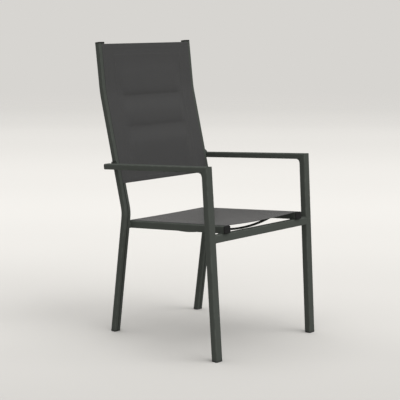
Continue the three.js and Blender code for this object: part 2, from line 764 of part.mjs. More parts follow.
// The weld that rounds the corner under the arm, on the leg's side of the joint.
function cornerWeld() {
  const innerY = legDepth / 2;
  const innerZ = -armThickness - weldGap;
  const centre = new THREE.Vector2(innerY + cornerFillet, innerZ - filletTip - cornerFillet);
  const arc = Array.from({ length: filletSegments + 1 }, (_, i) => {
    const angle = Math.PI / 2 * (1 + i / filletSegments);
    return new THREE.Vector2(
      centre.x + cornerFillet * Math.cos(angle),
      centre.y + cornerFillet * Math.sin(angle),
    );
  });
  const outline = [
    new THREE.Vector2(innerY - tubeWall / 2, innerZ),
    new THREE.Vector2(centre.x, innerZ),
    ...arc,
    new THREE.Vector2(innerY - tubeWall / 2, centre.y),
  ];
  return yzPrism(outline.reverse(), legWidth - 2 * filletInset);
}

const legFrames = [0, -legLength].map((z) => frameAt(0, z, 0, -1));
const legTube = sweep(tubeShape(legWidth, legDepth), legFrames);
const frontLeg = join(cut(legTube, [mitreBlock(1)]), [cornerWeld()]);
const armFrames = forwardFrames([armLength, -legDepth / 2]);
const armTube = sweep(tubeShape(legWidth, armThickness), armFrames).translate(0, 0, -armThickness / 2);
const arm = cut(armTube, [mitreBlock(-1)]);
const armLid = endLid(legWidth, armThickness, tubePlug(legWidth, armThickness));
armLid.rotateX(-Math.PI / 2);
armLid.translate(0, armLength, -armThickness / 2);
const frontPlug = tubePlug(legWidth, legDepth);

for (const { name, sign } of sides) {
  const sideFrame = new THREE.Group();
  sideFrame.position.set(sign * legTopX, -frontLegReach, armHeight);
  sideFrame.rotation.set(armPitch, sign * legLean, sign * armToe);
  seatFrame.add(sideFrame);
  chair.updateMatrixWorld(true);
  place(sideFrame, `front_leg_${name}`, frontLeg, powderCoat());
  place(sideFrame, `arm_${name}`, arm, powderCoat());
  place(sideFrame, `arm_end_cap_${name}`, armLid, blackPlastic());
  const up = new THREE.Vector3(0, 0, 1).transformDirection(sideFrame.matrixWorld.clone().invert());
  place(sideFrame, `front_foot_glide_${name}`, footGlide(legWidth, legDepth, frontPlug, up), blackPlastic(),
    [0, 0, -legLength]);
}

// Crossbars: the front one between the legs and under the rails, the rear one between the rails
const legInnerX = legTopX - (armHeight - crossbarBottom) * Math.tan(legLean) - legWidth / 2;
const frontBar = sweep(tubeShape(legDepth, crossbarHeight), acrossFrames(legInnerX - weldGap));
place(seatFrame, 'front_crossbar', frontBar, powderCoat(), [0, crossbarY, crossbarMiddle]);
const rearBar = sweep(tubeShape(rearBarDepth, rearBarHeight), acrossFrames(seatHalfSpan));
const rearBarMiddle = -rearBarDrop - rearBarHeight / 2;
place(seatFrame, 'rear_crossbar', rearBar, powderCoat(), [0, rearBarReach, rearBarMiddle]);

// Slings and the keder rods in their hems
place(chair, 'back_sling_front_panel', backFrontPanel(), slingFabric());
place(chair, 'back_sling_rear_panel', backRearPanel(), slingFabric());
place(chair, 'back_padding', backPadding(), paddingFoam());
place(seatFrame, 'seat_sling', seatPanel(), slingFabric());

const backRod = kederRod(uprightFrames([backTopZ, backBottomZ]), frontFaceV - channelDepth);
const seatRod = kederRod(forwardFrames([seatRearY, seatFrontY]), -channelDepth);
for (const { name, sign } of sides) {
  place(chair, `back_keder_rod_${name}`, backRod, kederPlastic(), [sign * uprightX, 0, 0]);
  place(seatFrame, `seat_keder_rod_${name}`, seatRod, kederPlastic(), [sign * railX, 0, 0]);
}

// The origin goes under the middle of the outline.
const outlineMiddle = new THREE.Box3().setFromObject(chair, true).getCenter(new THREE.Vector3());
chair.position.y = -outlineMiddle.y;

export default chair;
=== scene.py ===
# Sling patio chair: the looks of a welded aluminium chair with a padded back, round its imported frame.
# Metres, +Z up. The sitter faces -Y, and the sitter's left is +X.

import functools
import math

import bmesh
import bpy
import numpy as np
from bpy.props import FloatProperty, FloatVectorProperty, PointerProperty
from mathutils import Matrix, Vector


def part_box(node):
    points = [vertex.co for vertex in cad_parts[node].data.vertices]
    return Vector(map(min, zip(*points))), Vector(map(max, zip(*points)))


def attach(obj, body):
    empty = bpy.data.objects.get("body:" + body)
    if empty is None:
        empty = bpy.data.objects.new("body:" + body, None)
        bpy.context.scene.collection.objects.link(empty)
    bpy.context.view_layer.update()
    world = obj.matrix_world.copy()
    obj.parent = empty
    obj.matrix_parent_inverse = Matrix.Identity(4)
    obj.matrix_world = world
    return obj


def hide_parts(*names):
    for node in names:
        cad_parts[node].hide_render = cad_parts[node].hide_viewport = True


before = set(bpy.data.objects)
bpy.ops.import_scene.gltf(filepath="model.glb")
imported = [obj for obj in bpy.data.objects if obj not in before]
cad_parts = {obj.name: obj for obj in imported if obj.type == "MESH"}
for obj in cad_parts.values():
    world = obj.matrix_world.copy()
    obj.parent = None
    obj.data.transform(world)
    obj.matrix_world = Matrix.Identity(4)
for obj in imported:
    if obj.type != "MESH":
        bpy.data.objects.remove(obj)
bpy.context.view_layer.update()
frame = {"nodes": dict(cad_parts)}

bl_info = {
    "name": "Sling patio chair",
    "version": (1, 0, 0),
    "blender": (4, 5, 0),
    "location": "3D View > Sidebar > Chair",
    "description": "Dresses the frame of a sling patio chair with a padded back",
    "category": "Object",
}

BODY = "root"
SIDES = (("left", 1), ("right", -1))

# Uprights, as (y, z) from the maker's own origin
REAR_FOOT = (0.2444, 0)
KNEE = (0.1776, 0.4693)
KNEE_RADIUS = 0.12
BACK_BEND = (0.291, 0.9121)
BACK_BEND_RADIUS = 0.3
UPRIGHT_TOP = (0.313, 1.092)
BEND_STEP = math.pi / 32
UPRIGHT_SPAN = 0.491
UPRIGHT_WIDTH = 0.03
UPRIGHT_DEPTH = 0.023
UPRIGHT_X = (UPRIGHT_SPAN - UPRIGHT_WIDTH) / 2
UPRIGHT_OUTER_X = UPRIGHT_SPAN / 2
UPRIGHT_INNER_X = UPRIGHT_OUTER_X - UPRIGHT_WIDTH
FRONT_FACE = UPRIGHT_DEPTH / 2

# Seat frame, legs and arms
FRAME_TILT = math.radians(4.55)
SEAT_HEIGHT = 0.4479
TUBE_GAP = 0.0003
RAIL_WIDTH = 0.0315
RAIL_HEIGHT = 0.0263
RAIL_X = UPRIGHT_INNER_X - TUBE_GAP - RAIL_WIDTH / 2
RAIL_INNER_X = RAIL_X - RAIL_WIDTH / 2
RAIL_OUTER_X = RAIL_X + RAIL_WIDTH / 2
RAIL_REAR = 0.19
RAIL_OVERHANG = 0.0082
LID = 0.005
CROSSBAR_HEIGHT = 0.0284
REAR_BAR_DEPTH = 0.02
REAR_BAR_HEIGHT = 0.017
REAR_BAR_DROP = 0.009
REAR_BAR_REACH = 0.168
LEG_WIDTH = 0.031
LEG_DEPTH = 0.0255
ARM_THICKNESS = 0.0205
ARM_TILT = math.radians(3.8)
ARM_HEIGHT = 0.2128
ARM_SPAN = 0.5713
FRONT_FOOT_SPAN = 0.5578
FRONT_LEG_REACH = 0.2838
TUBE_CORNER = 0.004

# Keder slot, and how the fabric lies in it
SLOT_LIP = 0.0022
CHANNEL_RADIUS = 0.0038
ROD_RADIUS = 0.0019
ROD_SLACK = 0.00045
TONGUE_OFFSET = 0.0007
FOLD_RADIUS = 0.0009
HOOK_END = math.radians(120)
SEAT_GAP = 0.0003

# Padded back, as heights on the uprights' centre line
BACK_TOP = 1.089
PAD_TOP = 1.047
UPPER_SEAM = 0.892
LOWER_SEAM = 0.776
PAD_BOTTOM = 0.591
BACK_BOTTOM = 0.5732
PAD_BANDS = ((PAD_BOTTOM, LOWER_SEAM), (LOWER_SEAM, UPPER_SEAM), (UPPER_SEAM, PAD_TOP))
PAD_WIDTH = 0.354
PAD_EDGE = 0.0009
PAD_MARGIN = 0.007
REAR_PANEL_INSET = 0.0035
PAD_STEP = 0.0055
SEAT_FRONT_SAG = 0.0045
SEAT_REAR_SAG = 0.001
SEAT_SAG = 0.006
SEAT_END_GAP = 0.0005
SEAT_STEP = 0.008

# Flat oval bar of a spreader and its end plates
BAR_WIDTH = 0.016
BAR_THICKNESS = 0.008
PLATE_LENGTH = 0.036
PLATE_HEIGHT = 0.012
PLATE_THICKNESS = 0.003
PLATE_CORNER = 0.003

# Camera, from the maker's own origin
CAMERA_PLACE = Vector((-3.1789, -2.9502, 1.1973))
CAMERA_WAY = Vector((0.7220, 0.6738, -0.1571))
CAMERA_LENS = 104.77
CAMERA_SENSOR = 36


def length_property(name, description, default):
    return FloatProperty(name=name, description=description, default=default, unit="LENGTH")


def colour_property(name, description, default):
    return FloatVectorProperty(
        name=name, description=description, default=default, subtype="COLOR", size=3, min=0, max=1)


class ChairSizes(bpy.types.PropertyGroup):
    fabric: length_property("Fabric", "Thickness of the sling fabric", 0.001)
    front_crown: length_property("Front crown", "How far the padding swells forwards", 0.006)
    rear_crown: length_property("Rear crown", "How far the padding swells backwards", 0.0045)
    hem: length_property("Hem", "Width of the folded hems", 0.02)
    hem_rise: length_property("Hem rise", "What a hem adds to the fabric's thickness", 0.0007)
    stitch: length_property("Stitch", "Length of one stitch", 0.003)
    stitch_pitch: length_property("Stitch pitch", "From one stitch to the next", 0.0038)
    thread: length_property("Thread", "Radius of the sewing thread", 0.00035)
    weave: length_property("Weave", "Width of one yarn of the mesh fabric", 0.0012)
    weld: length_property("Weld", "Leg of the fillet welds", 0.0048)
    edge_round: length_property("Edge", "Rounding of cut tube ends", 0.0003)


class ChairColours(bpy.types.PropertyGroup):
    frame: colour_property("Frame", "Powder coat of the tubes", (0.057, 0.063, 0.056))
    fabric: colour_property("Fabric", "Yarn of the slings", (0.051, 0.051, 0.051))
    plastic: colour_property("Plastic", "Caps on the tube ends", (0.009, 0.009, 0.009))
    glide: colour_property("Glide", "Glides under the feet", (0.038, 0.04, 0.038))
    foam: colour_property("Foam", "Padding inside the back", (0.36, 0.36, 0.34))
    rod: colour_property("Rod", "Keder rods", (0.48, 0.48, 0.46))
    thread: colour_property("Thread", "Sewing thread", (0.05, 0.05, 0.05))
    steel: colour_property("Steel", "Screws", (0.42, 0.43, 0.44))
    floor: colour_property("Floor", "Floor and backdrop", (0.68, 0.665, 0.638))


def sizes():
    return bpy.context.scene.chair_sizes


def colours():
    return bpy.context.scene.chair_colours


# Places on the frame

def bend_points(before, corner, after, radius):
    """The facets of a bend that rounds a corner of the uprights' line."""
    before, corner, after = (Vector(point) for point in (before, corner, after))
    inward = (before - corner).normalized()
    outward = (after - corner).normalized()
    turn = math.pi - inward.angle(outward)
    tangent = radius * math.tan(turn / 2)
    centre = corner + (inward + outward).normalized() * (radius / math.cos(turn / 2))
    first = corner + inward * tangent - centre
    last = corner + outward * tangent - centre
    sense = math.copysign(1, first.x * last.y - first.y * last.x)
    facets = math.ceil(turn / BEND_STEP)
    return [
        centre + Matrix.Rotation(sense * turn * i / facets, 2) @ first
        for i in range(facets + 1)
    ]


def upright_line():
    """The uprights' centre line from the foot to the top, as an array of (y, z)."""
    top_down = [
        Vector(UPRIGHT_TOP),
        *bend_points(UPRIGHT_TOP, BACK_BEND, KNEE, BACK_BEND_RADIUS),
        *bend_points(BACK_BEND, KNEE, REAR_FOOT, KNEE_RADIUS),
        Vector(REAR_FOOT),
    ]
    return np.array([tuple(point) for point in reversed(top_down)])


LINE = upright_line()
WAY_STEP = 0.004


def line_y(z):
    """The line's y at heights z, going on straight past its top."""
    top_slope = (LINE[-1, 0] - LINE[-2, 0]) / (LINE[-1, 1] - LINE[-2, 1])
    beyond = np.maximum(np.asarray(z, float) - LINE[-1, 1], 0)
    return np.interp(z, LINE[:, 1], LINE[:, 0]) + beyond * top_slope


def forward_way(z):
    """The way (y, z) that an upright's front face looks at heights z."""
    rise = line_y(np.asarray(z, float) + WAY_STEP) - line_y(np.asarray(z, float) - WAY_STEP)
    length = np.hypot(rise, 2 * WAY_STEP)
    return -2 * WAY_STEP / length, rise / length


def outline_shift():
    """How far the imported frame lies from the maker's origin along y."""
    way_y, _ = forward_way(UPRIGHT_TOP[1])
    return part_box("upright_left")[1].y - (UPRIGHT_TOP[0] - way_y * UPRIGHT_DEPTH / 2)


SHIFT = outline_shift()


def on_back(u, v, z):
    """Places at u across, v forwards of the uprights' line and height z on it."""
    u, v, z = np.broadcast_arrays(u, v, z)
    way_y, way_z = forward_way(z)
    return np.stack([u, line_y(z) + SHIFT + v * way_y, z + v * way_z], axis=-1)


SEAT_MATRIX = Matrix.Translation((0, SHIFT, SEAT_HEIGHT)) @ Matrix.Rotation(-FRAME_TILT, 4, "X")
ARM_PITCH = FRAME_TILT - ARM_TILT
CROSSBAR_TOP = -RAIL_HEIGHT - TUBE_GAP
CROSSBAR_MIDDLE = CROSSBAR_TOP - CROSSBAR_HEIGHT / 2
CROSSBAR_Y = (ARM_HEIGHT - CROSSBAR_MIDDLE) * math.tan(ARM_PITCH) - FRONT_LEG_REACH
RAIL_FRONT = CROSSBAR_Y - LEG_DEPTH / 2 - RAIL_OVERHANG + LID


def on_seat(x, y, z):
    """Places in the seat's own axes, with z up from the top of the rails."""
    x, y, z = np.broadcast_arrays(x, y, z)
    cosine = math.cos(FRAME_TILT)
    sine = math.sin(FRAME_TILT)
    return np.stack([x, y * cosine + z * sine + SHIFT, SEAT_HEIGHT - y * sine + z * cosine], axis=-1)


def side_matrix(sign):
    """The axes of one side's leg and arm, from the top of its front corner."""
    leg_top_x = (ARM_SPAN - LEG_WIDTH) / 2
    leg_foot_x = (FRONT_FOOT_SPAN - LEG_WIDTH) / 2
    corner_y = ARM_HEIGHT * math.sin(FRAME_TILT) - FRONT_LEG_REACH * math.cos(FRAME_TILT)
    corner_z = SEAT_HEIGHT + ARM_HEIGHT * math.cos(FRAME_TILT) + FRONT_LEG_REACH * math.sin(FRAME_TILT)
    lean = math.atan((leg_top_x - leg_foot_x) * math.cos(ARM_TILT) / corner_z)
    to_upright = (float(line_y(SEAT_HEIGHT + ARM_HEIGHT)) - corner_y) / math.cos(ARM_TILT)
    inset = leg_top_x - LEG_WIDTH / 2 - TUBE_GAP - UPRIGHT_OUTER_X
    toe = math.asin(inset / (to_upright + UPRIGHT_DEPTH / 2))
    corner = Matrix.Translation((sign * leg_top_x, -FRONT_LEG_REACH, ARM_HEIGHT))
    turn = (
        Matrix.Rotation(ARM_PITCH, 4, "X")
        @ Matrix.Rotation(sign * lean, 4, "Y")
        @ Matrix.Rotation(sign * toe, 4, "Z")
    )
    return SEAT_MATRIX @ corner @ turn


# Node trees

# Sockets of a Mix node that blends colours
MIX_SHARE, MIX_FIRST, MIX_SECOND, MIX_RESULT = 0, 6, 7, 2
VECTOR_SOCKETS = ("Vector", "Normal")


def connect(tree, socket, value):
    """Links a socket to an input, or sets the input to a plain value."""
    if isinstance(value, bpy.types.NodeSocket):
        tree.links.new(value, socket)
    else:
        socket.default_value = value


def add(tree, kind, inputs=None, **settings):
    """A node with its settings and inputs."""
    node = tree.nodes.new(kind)
    for name, value in settings.items():
        setattr(node, name, value)
    for key, value in (inputs or {}).items():
        connect(tree, node.inputs[key], value)
    return node


def compute(tree, operation, *values):
    """The output of a maths node."""
    return add(tree, "ShaderNodeMath", dict(enumerate(values)), operation=operation).outputs[0]


def blend_colour(tree, share, first, second):
    """The output of a colour mix."""
    inputs = {MIX_SHARE: share, MIX_FIRST: first, MIX_SECOND: second}
    return add(tree, "ShaderNodeMix", inputs, data_type="RGBA").outputs[MIX_RESULT]


def ramp(tree, value, low, high):
    """The value stretched so that low gives 0 and high gives 1."""
    node = add(tree, "ShaderNodeMapRange", {"Value": value, "From Min": low, "From Max": high})
    return node.outputs["Result"]


def empty_tree(owner):
    """The node tree of a material or a world, without its first nodes."""
    owner.use_nodes = True
    owner.node_tree.nodes.clear()
    return owner.node_tree


def object_place(tree):
    return add(tree, "ShaderNodeTexCoord").outputs["Object"]


def noise(tree, vector, scale, detail, roughness=0.5):
    inputs = {"Vector": vector, "Scale": scale, "Detail": detail, "Roughness": roughness}
    return add(tree, "ShaderNodeTexNoise", inputs).outputs["Fac"]


def shader_group(name, inputs, outputs):
    """Turns a function that fills a group's tree into one that places the group in a material."""
    def filled(fill):
        group = bpy.data.node_groups.new(name, "ShaderNodeTree")
        for in_out, sockets in (("INPUT", inputs), ("OUTPUT", outputs)):
            for socket in sockets:
                kind = "NodeSocketVector" if socket in VECTOR_SOCKETS else "NodeSocketFloat"
                group.interface.new_socket(name=socket, in_out=in_out, socket_type=kind)
        given = add(group, "NodeGroupInput").outputs
        out = add(group, "NodeGroupOutput")
        for socket, value in fill(group, given).items():
            connect(group, out.inputs[socket], value)
        return group

    def wrap(fill):
        def place(tree, **values):
            group = bpy.data.node_groups.get(name) or filled(fill)
            return add(tree, "ShaderNodeGroup", values, node_tree=group).outputs
        return place
    return wrap


@shader_group("Surface grain", inputs=("Vector", "Scale", "Cloud"), outputs=("Height", "Tone"))
def surface_grain(tree, given):
    """Fine orange peel of powder coat or moulded plastic, with a slow change of tone."""
    fine = noise(tree, given["Vector"], given["Scale"], 3.0)
    pits = add(tree, "ShaderNodeTexVoronoi", {"Vector": given["Vector"], "Scale": given["Scale"]})
    height = compute(tree, "MULTIPLY_ADD", pits.outputs["Distance"], 0.35, fine)
    cloud = noise(tree, given["Vector"], given["Cloud"], 4.0, 0.6)
    return {"Height": height, "Tone": ramp(tree, cloud, 0.3, 0.7)}


@shader_group("Edge wear", inputs=("Vector", "Edge", "Amount"), outputs=("Mask",))
def edge_wear(tree, given):
    """Where edges have been rubbed: an edge mask broken up by noise."""
    patches = ramp(tree, noise(tree, given["Vector"], 45.0, 6.0), 0.42, 0.66)
    broken = compute(tree, "MULTIPLY", given["Edge"], patches)
    return {"Mask": compute(tree, "MULTIPLY", broken, given["Amount"])}


@shader_group("Settled dust", inputs=("Vector", "Normal", "Amount"), outputs=("Mask",))
def settled_dust(tree, given):
    """Dust that settles on what faces up, in soft patches."""
    up = add(tree, "ShaderNodeSeparateXYZ", {0: given["Normal"]}).outputs["Z"]
    patches = ramp(tree, noise(tree, given["Vector"], 22.0, 7.0), 0.35, 0.75)
    soft = compute(tree, "MULTIPLY", ramp(tree, up, 0.55, 1.0), patches)
    return {"Mask": compute(tree, "MULTIPLY", soft, given["Amount"])}


@shader_group("Sling weave", inputs=("Vector", "Yarn"), outputs=("Height", "Gap shade", "Warp"))
def sling_weave(tree, given):
    """Plain weave of round coated yarns: warp along v and weft along u, over and under by turns."""
    split = add(tree, "ShaderNodeSeparateXYZ", {0: given["Vector"]})
    across = compute(tree, "DIVIDE", split.outputs["X"], given["Yarn"])
    along = compute(tree, "DIVIDE", split.outputs["Y"], given["Yarn"])
    cells = compute(tree, "ADD", compute(tree, "FLOOR", across), compute(tree, "FLOOR", along))
    warp_over = compute(tree, "FLOORED_MODULO", cells, 2.0)
    weft_over = compute(tree, "SUBTRACT", 1.0, warp_over)

    def hump(place):
        """1 on the middle of a yarn and 0 at its sides."""
        middle = compute(tree, "SUBTRACT", compute(tree, "FRACT", place), 0.5)
        return compute(tree, "COSINE", compute(tree, "MULTIPLY", middle, math.pi))

    def yarn(profile, rise, over):
        """Height of one set of yarns: full where it passes over, low where it passes under."""
        lift = compute(tree, "MULTIPLY", compute(tree, "MULTIPLY_ADD", rise, 0.45, 0.55), over)
        return compute(tree, "MULTIPLY", profile, compute(tree, "MAXIMUM", lift, 0.18))

    across_hump = hump(across)
    along_hump = hump(along)
    warp = yarn(across_hump, along_hump, warp_over)
    weft = yarn(along_hump, across_hump, weft_over)
    height = compute(tree, "MAXIMUM", warp, weft)
    return {
        "Height": height,
        # Gap shade: where both yarns dip away at their sides, the mask for the painted shade between the
        # yarns.
        "Gap shade": ramp(tree, height, 0.34, 0.12),
        "Warp": compute(tree, "GREATER_THAN", warp, weft),
    }


# Materials

DUST_COLOUR = (0.3, 0.29, 0.27, 1)
DUST_AMOUNT = 0.02


def material(name):
    """Turns a function that fills a material's tree into one that gives the material, built once."""
    def wrap(fill):
        def get():
            if name in bpy.data.materials:
                return bpy.data.materials[name]
            made = bpy.data.materials.new(name)
            tree = empty_tree(made)
            shader = add(tree, "ShaderNodeBsdfPrincipled")
            add(tree, "ShaderNodeOutputMaterial", {"Surface": shader.outputs[0]})
            fill(tree, shader)
            return made
        return get
    return wrap


def shade(colour, factor=1):
    """A colour made lighter or darker, with its alpha."""
    return (*(min(1, channel * factor) for channel in colour), 1)


def dress(tree, shader, colour, roughness, height, depth, specular=0.5):
    """Gives a shader its colour, its roughness, a bump of some depth in metres and its gloss."""
    bump = add(tree, "ShaderNodeBump", {"Height": height, "Distance": depth, "Strength": 1.0})
    inputs = {"Base Color": colour, "Roughness": roughness, "Normal": bump.outputs["Normal"]}
    for name, value in inputs.items():
        connect(tree, shader.inputs[name], value)
    shader.inputs["Specular IOR Level"].default_value = specular


def worn_surface(tree, shader, colour, grain, depth, wear, rough, specular):
    """What the coat and the mouldings share: a grain, rubbed edges and dust."""
    place = object_place(tree)
    normal = add(tree, "ShaderNodeNewGeometry").outputs["Normal"]
    edge = add(tree, "ShaderNodeAttribute", attribute_name="edge").outputs["Fac"]
    texture = surface_grain(tree, Vector=place, Scale=grain, Cloud=7.0)
    rubbed = edge_wear(tree, Vector=place, Edge=edge, Amount=wear)["Mask"]
    dusty = settled_dust(tree, Vector=place, Normal=normal, Amount=DUST_AMOUNT)["Mask"]
    toned = blend_colour(tree, texture["Tone"], shade(colour, 0.98), shade(colour, 1.02))
    worn = blend_colour(tree, rubbed, toned, shade(colour, 1.8))
    clean_roughness = compute(tree, "MULTIPLY_ADD", texture["Tone"], 0.08, rough)
    roughness = compute(tree, "MULTIPLY_ADD", dusty, 0.25, clean_roughness)
    dusted = blend_colour(tree, dusty, worn, DUST_COLOUR)
    dress(tree, shader, dusted, roughness, texture["Height"], depth, specular)


@material("Powder coat")
def powder_coat(tree, shader):
    worn_surface(
        tree, shader, colours().frame, grain=1100.0, depth=0.00005, wear=0.3, rough=0.7, specular=0.01)


def moulded_surface(tree, shader, colour):
    worn_surface(tree, shader, colour, grain=1700.0, depth=0.00004, wear=0.5, rough=0.6, specular=0.12)


@material("Cap plastic")
def cap_plastic(tree, shader):
    moulded_surface(tree, shader, colours().plastic)


@material("Glide plastic")
def glide_plastic(tree, shader):
    moulded_surface(tree, shader, colours().glide)


@material("Sling fabric")
def sling_fabric(tree, shader):
    base = colours().fabric
    flat = add(tree, "ShaderNodeUVMap", uv_map="cloth").outputs["UV"]
    weave = sling_weave(tree, Vector=flat, Yarn=sizes().weave)
    texture = surface_grain(tree, Vector=object_place(tree), Scale=900.0, Cloud=14.0)
    yarns = blend_colour(tree, weave["Warp"], shade(base, 0.94), shade(base, 1.1))
    toned = blend_colour(tree, texture["Tone"], yarns, shade(base, 1.04))
    # Painted shade: the colour drops towards 0.3 of the base where the yarns part, standing in for the
    # shade between them.
    colour = blend_colour(tree, compute(tree, "MULTIPLY", weave["Gap shade"], 0.55), toned, shade(base, 0.3))
    roughness = compute(tree, "MULTIPLY_ADD", weave["Height"], -0.1, 0.45)
    dress(tree, shader, colour, roughness, weave["Height"], 0.0001, specular=0.05)


@material("Quick dry foam")
def padding_foam(tree, shader):
    base = colours().foam
    inputs = {"Vector": object_place(tree), "Scale": 900.0, "Randomness": 1.0}
    cells = add(tree, "ShaderNodeTexVoronoi", inputs).outputs["Distance"]
    cell = ramp(tree, cells, 0.1, 0.6)
    # Painted shade: the foam is darker in its pores, where the bump sinks, and lighter on the walls
    # between them.
    colour = blend_colour(tree, cell, shade(base, 0.6), shade(base, 1.1))
    dress(tree, shader, colour, ramp(tree, cell, 1.4, 0.6), cell, 0.0004)


@material("Sewing thread")
def sewing_thread(tree, shader):
    base = colours().thread
    lay = add(
        tree, "ShaderNodeTexWave", {"Vector": object_place(tree), "Scale": 900.0, "Distortion": 1.5},
        wave_type="BANDS", bands_direction="DIAGONAL").outputs["Fac"]
    # Painted shade and highlight: the thread is darker in the grooves of its twist, where the bump
    # sinks, and lighter on the crests.
    colour = blend_colour(tree, lay, shade(base, 0.75), shade(base, 1.5))
    dress(tree, shader, colour, ramp(tree, lay, 2.0, -2.0), lay, 0.00008)


def grained_surface(tree, shader, base, grain, cloud, tones, rough, depth):
    """A surface with nothing but a grain: its darkest and lightest tone, and its roughness in each."""
    texture = surface_grain(tree, Vector=object_place(tree), Scale=grain, Cloud=cloud)
    colour = blend_colour(tree, texture["Tone"], shade(base, tones[0]), shade(base, tones[1]))
    roughness = compute(tree, "MULTIPLY_ADD", texture["Tone"], rough[1] - rough[0], rough[0])
    dress(tree, shader, colour, roughness, texture["Height"], depth)


@material("Keder rod")
def rod_plastic(tree, shader):
    grained_surface(
        tree, shader, colours().rod, grain=500.0, cloud=30.0, tones=(0.9, 1.05), rough=(0.38, 0.48),
        depth=0.00003)


@material("Stainless steel")
def screw_steel(tree, shader):
    grained_surface(
        tree, shader, colours().steel, grain=2600.0, cloud=160.0, tones=(0.8, 1.1), rough=(0.24, 0.42),
        depth=0.00002)
    shader.inputs["Metallic"].default_value = 1


# Meshes

MERGE_DISTANCE = 0.000001
FLAT_ANGLE = math.radians(0.4)
SMOOTH_ANGLE = math.radians(35)
SHARP_ANGLE = math.radians(60)
WORN_ANGLE = math.radians(12)
WORN_WIDTH = 0.003


def new_object(name, data):
    """An object of the scene with its data."""
    made = bpy.data.objects.new(name, data)
    bpy.context.scene.collection.objects.link(made)
    return made


def mesh_object(bm, name):
    """An object made from a bmesh, which is used up."""
    mesh = bpy.data.meshes.new(name)
    bm.to_mesh(mesh)
    bm.free()
    return new_object(name, mesh)


def mark_edges(bm):
    """Marks the narrow faces that round an outer edge, for the wear."""
    layer = bm.loops.layers.float.new("edge")
    for face in bm.faces:
        narrow = 2 * face.calc_area() / face.calc_perimeter() < WORN_WIDTH
        angles = [edge.calc_face_angle_signed(0) for edge in face.edges if edge.is_manifold]
        if narrow and max(angles, default=0) > WORN_ANGLE:
            for loop in face.loops:
                loop[layer] = 1


def to_piece(bm, name, finish, creased=True):
    """A shown piece from a bmesh, riding on the chair's body, with its finish."""
    mark_edges(bm)
    piece = mesh_object(bm, name)
    piece.data.materials.append(finish)
    piece.data.shade_smooth()
    if creased:
        piece.data.set_sharp_from_angle(angle=SMOOTH_ANGLE)
    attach(piece, BODY)
    return piece


def round_edges(bm, edges, width, segments=2):
    bmesh.ops.bevel(
        bm, geom=edges, offset=width, offset_type="OFFSET", affect="EDGES", segments=segments,
        profile=0.5, material=-1, clamp_overlap=True)


def close_holes(bm):
    bmesh.ops.holes_fill(bm, edges=[edge for edge in bm.edges if edge.is_boundary], sides=0)


def merged(node):
    """A CAD node's triangles as one clean surface of flat faces."""
    bm = bmesh.new()
    bm.from_mesh(frame["nodes"][node].data)
    bmesh.ops.remove_doubles(bm, verts=bm.verts, dist=MERGE_DISTANCE)
    bmesh.ops.dissolve_limit(bm, angle_limit=FLAT_ANGLE, verts=bm.verts, edges=bm.edges)
    return bm


def rounded_copy(node, name, finish, rounding):
    """A finished copy of a CAD node with its sharp edges rounded, which stands for it."""
    bm = merged(node)
    sharp = [edge for edge in bm.edges if edge.is_manifold and edge.calc_face_angle(0) > SHARP_ANGLE]
    if sharp:
        round_edges(bm, sharp, rounding)
    piece = to_piece(bm, name, finish)
    normals = piece.modifiers.new("Flat faces", "WEIGHTED_NORMAL")
    normals.mode = "FACE_AREA"
    normals.keep_sharp = True
    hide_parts(node)


def grid_surface(bm, places, looped=False):
    """A grid of quads through places[row, column], joined where it meets itself if it is looped."""
    rows, columns = places.shape[:2]
    made = bmesh.ops.create_grid(bm, x_segments=columns - 1, y_segments=rows - 1, size=1)
    spots = []
    for vertex in made["verts"]:
        column = round((vertex.co.x + 1) / 2 * (columns - 1))
        row = round((vertex.co.y + 1) / 2 * (rows - 1))
        spots.append((row, column))
        vertex.co = places[row, column]
    if looped:
        bmesh.ops.remove_doubles(bm, verts=made["verts"], dist=MERGE_DISTANCE)
    return spots


def lengths(points):
    """How far along a row of points each one lies."""
    steps = np.linalg.norm(np.diff(points, axis=0), axis=-1)
    return np.concatenate([[0], np.cumsum(steps)])


def cloth_piece(name, places, thick_rows):
    """A piece of sling fabric through places[row, column], and its flat size.

    It has its flat lengths as a UV map and a vertex group of its thick rows, which are its hems."""
    bm = bmesh.new()
    spots = grid_surface(bm, places)
    across = lengths(places[places.shape[0] // 2])
    along = lengths(places[:, places.shape[1] // 2])
    bm.verts.index_update()
    layer = bm.loops.layers.uv.new("cloth")
    for face in bm.faces:
        for loop in face.loops:
            row, column = spots[loop.vert.index]
            loop[layer].uv = (across[column], along[row])
    piece = to_piece(bm, name, sling_fabric(), creased=False)
    hems = piece.vertex_groups.new(name="hem")
    for index, (row, _) in enumerate(spots):
        hems.add([index], float(thick_rows[row]), "REPLACE")
    smooth = piece.modifiers.new("Smooth", "SUBSURF")
    smooth.levels = 1
    smooth.render_levels = 1
    hem_thickness = sizes().fabric + sizes().hem_rise
    wall = piece.modifiers.new("Fabric", "SOLIDIFY")
    wall.thickness = hem_thickness
    wall.offset = 0
    wall.vertex_group = hems.name
    wall.thickness_vertex_group = sizes().fabric / hem_thickness
    return piece, (float(across[-1]), float(along[-1]))


# Cloth

PRESSURE = 4.0
CLOTH_FRAMES = 20
CLOTH_SETTINGS = {
    "quality": 6, "mass": 0.2, "tension_stiffness": 18, "compression_stiffness": 18,
    "shear_stiffness": 6, "bending_stiffness": 0.4, "use_pressure": True, "shrink_min": -0.012,
}


